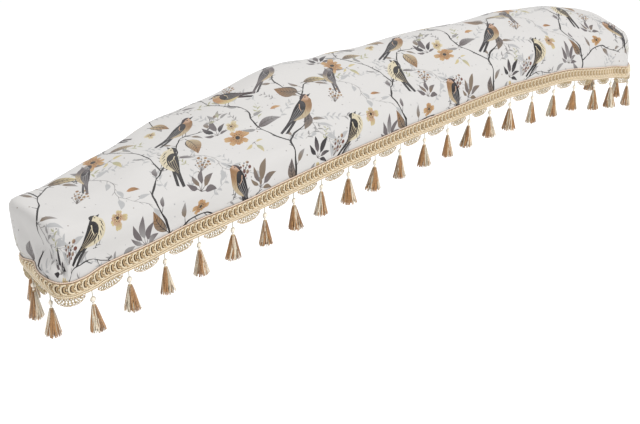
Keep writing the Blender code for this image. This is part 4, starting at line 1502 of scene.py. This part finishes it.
def yarn_material(name, twist, roughness, depth, sheen):
    """Twisted yarn: the mesh's tints, darkened by painted shade in the grooves between its plies, with fine
    fibres.
    """
    made, nodes, shader = surface_nodes(name, Roughness=roughness, Sheen_Weight=sheen)
    wind = node(nodes, "UVMap", "UV", uv_map="wind")
    along = node(nodes, "SeparateXYZ", "X", Vector=wind)
    across = along.node.outputs["Y"]
    turns = calculated(nodes, "MULTIPLY", along, 2 * math.pi / twist)
    phase = calculated(nodes, "MULTIPLY_ADD", across, PLIES * 2 * math.pi, turns)
    # Painted shade: the base colour darkens in the grooves between the plies; the same values also drive the
    # bump.
    groove_shade = mapped(nodes, calculated(nodes, "SINE", phase), (-1.0, 0.4), (1 - depth, 1.0))
    place = node(nodes, "TexCoord", "Object")
    fibres = mapped(nodes, noise(nodes, place, 420.0, 3.0), (0.3, 0.7), (0.86, 1.06))
    both = calculated(nodes, "MULTIPLY", groove_shade, fibres)
    # Base colour: the tints times the painted groove shade and the fibres' tone.
    shade_tints(nodes, shader, both)
    emboss(nodes, shader, both, 0.5)
    return made


def bead_material():
    """Pearl: the bead's tint with faint clouds under a glossy coat."""
    made, nodes, shader = surface_nodes("pearl", Roughness=0.28, Coat_Weight=0.6, Coat_Roughness=0.08)
    clouds = noise(nodes, node(nodes, "TexCoord", "Object"), 260.0, 2.0)
    shade_tints(nodes, shader, mapped(nodes, clouds, (0.0, 1.0), (0.88, 1.04)))
    return made


# The camera, the floor, the lamps and the light from all round
CAMERA_AT = (-1.7119, -1.5932, 0.9553 + LIFT)
CAMERA_LOOK = (0.643, 0.623, -0.446)
CAMERA_ROLL = -0.58
CAMERA_LENS = 64.485
SENSOR = 36.0
FLOOR_SIZE = 24
FLOOR_HEIGHT = -0.548 + LIFT
FLOOR_COLOUR = (0.98, 0.98, 0.98, 1)
LAMP_AIM = (0, 0, -0.1)
# Columns: name, place, size, power
LAMPS = (
    ("overhead", (0.9, 1.2, 3.0), 2.4, 56),
    ("front", (0.6, -3.2, 2.0), 2.0, 99),
    ("left", (-3.2, -0.6, 2.2), 1.8, 34),
)
SKY_COLOUR = (1, 1, 1, 1)
SKY_STRENGTH = 0.76


def make_camera():
    data = bpy.data.cameras.new("camera")
    data.lens = CAMERA_LENS
    data.sensor_width = SENSOR
    camera = linked("camera", data)
    camera.rotation_mode = "QUATERNION"
    turn = Vector(CAMERA_LOOK).to_track_quat("-Z", "Y")
    camera.rotation_quaternion = turn @ Quaternion((0, 0, 1), math.radians(CAMERA_ROLL))
    camera.location = CAMERA_AT
    bpy.context.scene.camera = camera


def make_stage():
    """A pale floor under the hanging cover, and soft light from above and from the front."""
    bpy.ops.mesh.primitive_plane_add(size=FLOOR_SIZE, location=(0, 0, FLOOR_HEIGHT))
    floor = bpy.context.object
    floor.name = "floor"
    floor.data.materials.append(surface_nodes("pale_floor", Roughness=0.9, Base_Color=FLOOR_COLOUR)[0])
    for name, place, size, power in LAMPS:
        data = bpy.data.lights.new(name, "AREA")
        data.size = size
        data.energy = power
        light = linked(name, data)
        light.location = place
        light.rotation_euler = (Vector(LAMP_AIM) - Vector(place)).to_track_quat("-Z", "Y").to_euler()
    world = bpy.data.worlds.new("world")
    world.use_nodes = True
    sky = world.node_tree.nodes["Background"]
    sky.inputs["Color"].default_value = SKY_COLOUR
    sky.inputs["Strength"].default_value = SKY_STRENGTH
    bpy.context.scene.world = world
    bpy.context.scene.view_settings.view_transform = "Standard"


def main():
    make_camera()
    make_stage()
    cord = yarn_material("twisted_gimp", GIMP_TWIST, roughness=0.42, depth=0.35, sheen=0.2)
    cloth = make_cloth(cloth_material())
    braid = make_braid(cord)
    lace = make_lace(cord)
    silk = yarn_material("silk_yarn", SILK_TWIST, roughness=0.38, depth=0.15, sheen=0.3)
    cords, beads, skirts = make_tassels(cord, bead_material(), silk)
    for piece, slot, nodes in (
        (cloth, "printed_cloth", ["cover_cloth"]),
        (braid, "braid", ["braid"]),
        (lace, "lace", ["lace"]),
        (skirts, "tassel", [f"tassel_{k + 1:02d}" for k in range(TASSELS)]),
        (cords, "tassel", []),
        (beads, "tassel", []),
    ):
        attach(piece, "root")
        if nodes:
            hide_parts(*nodes)


main()
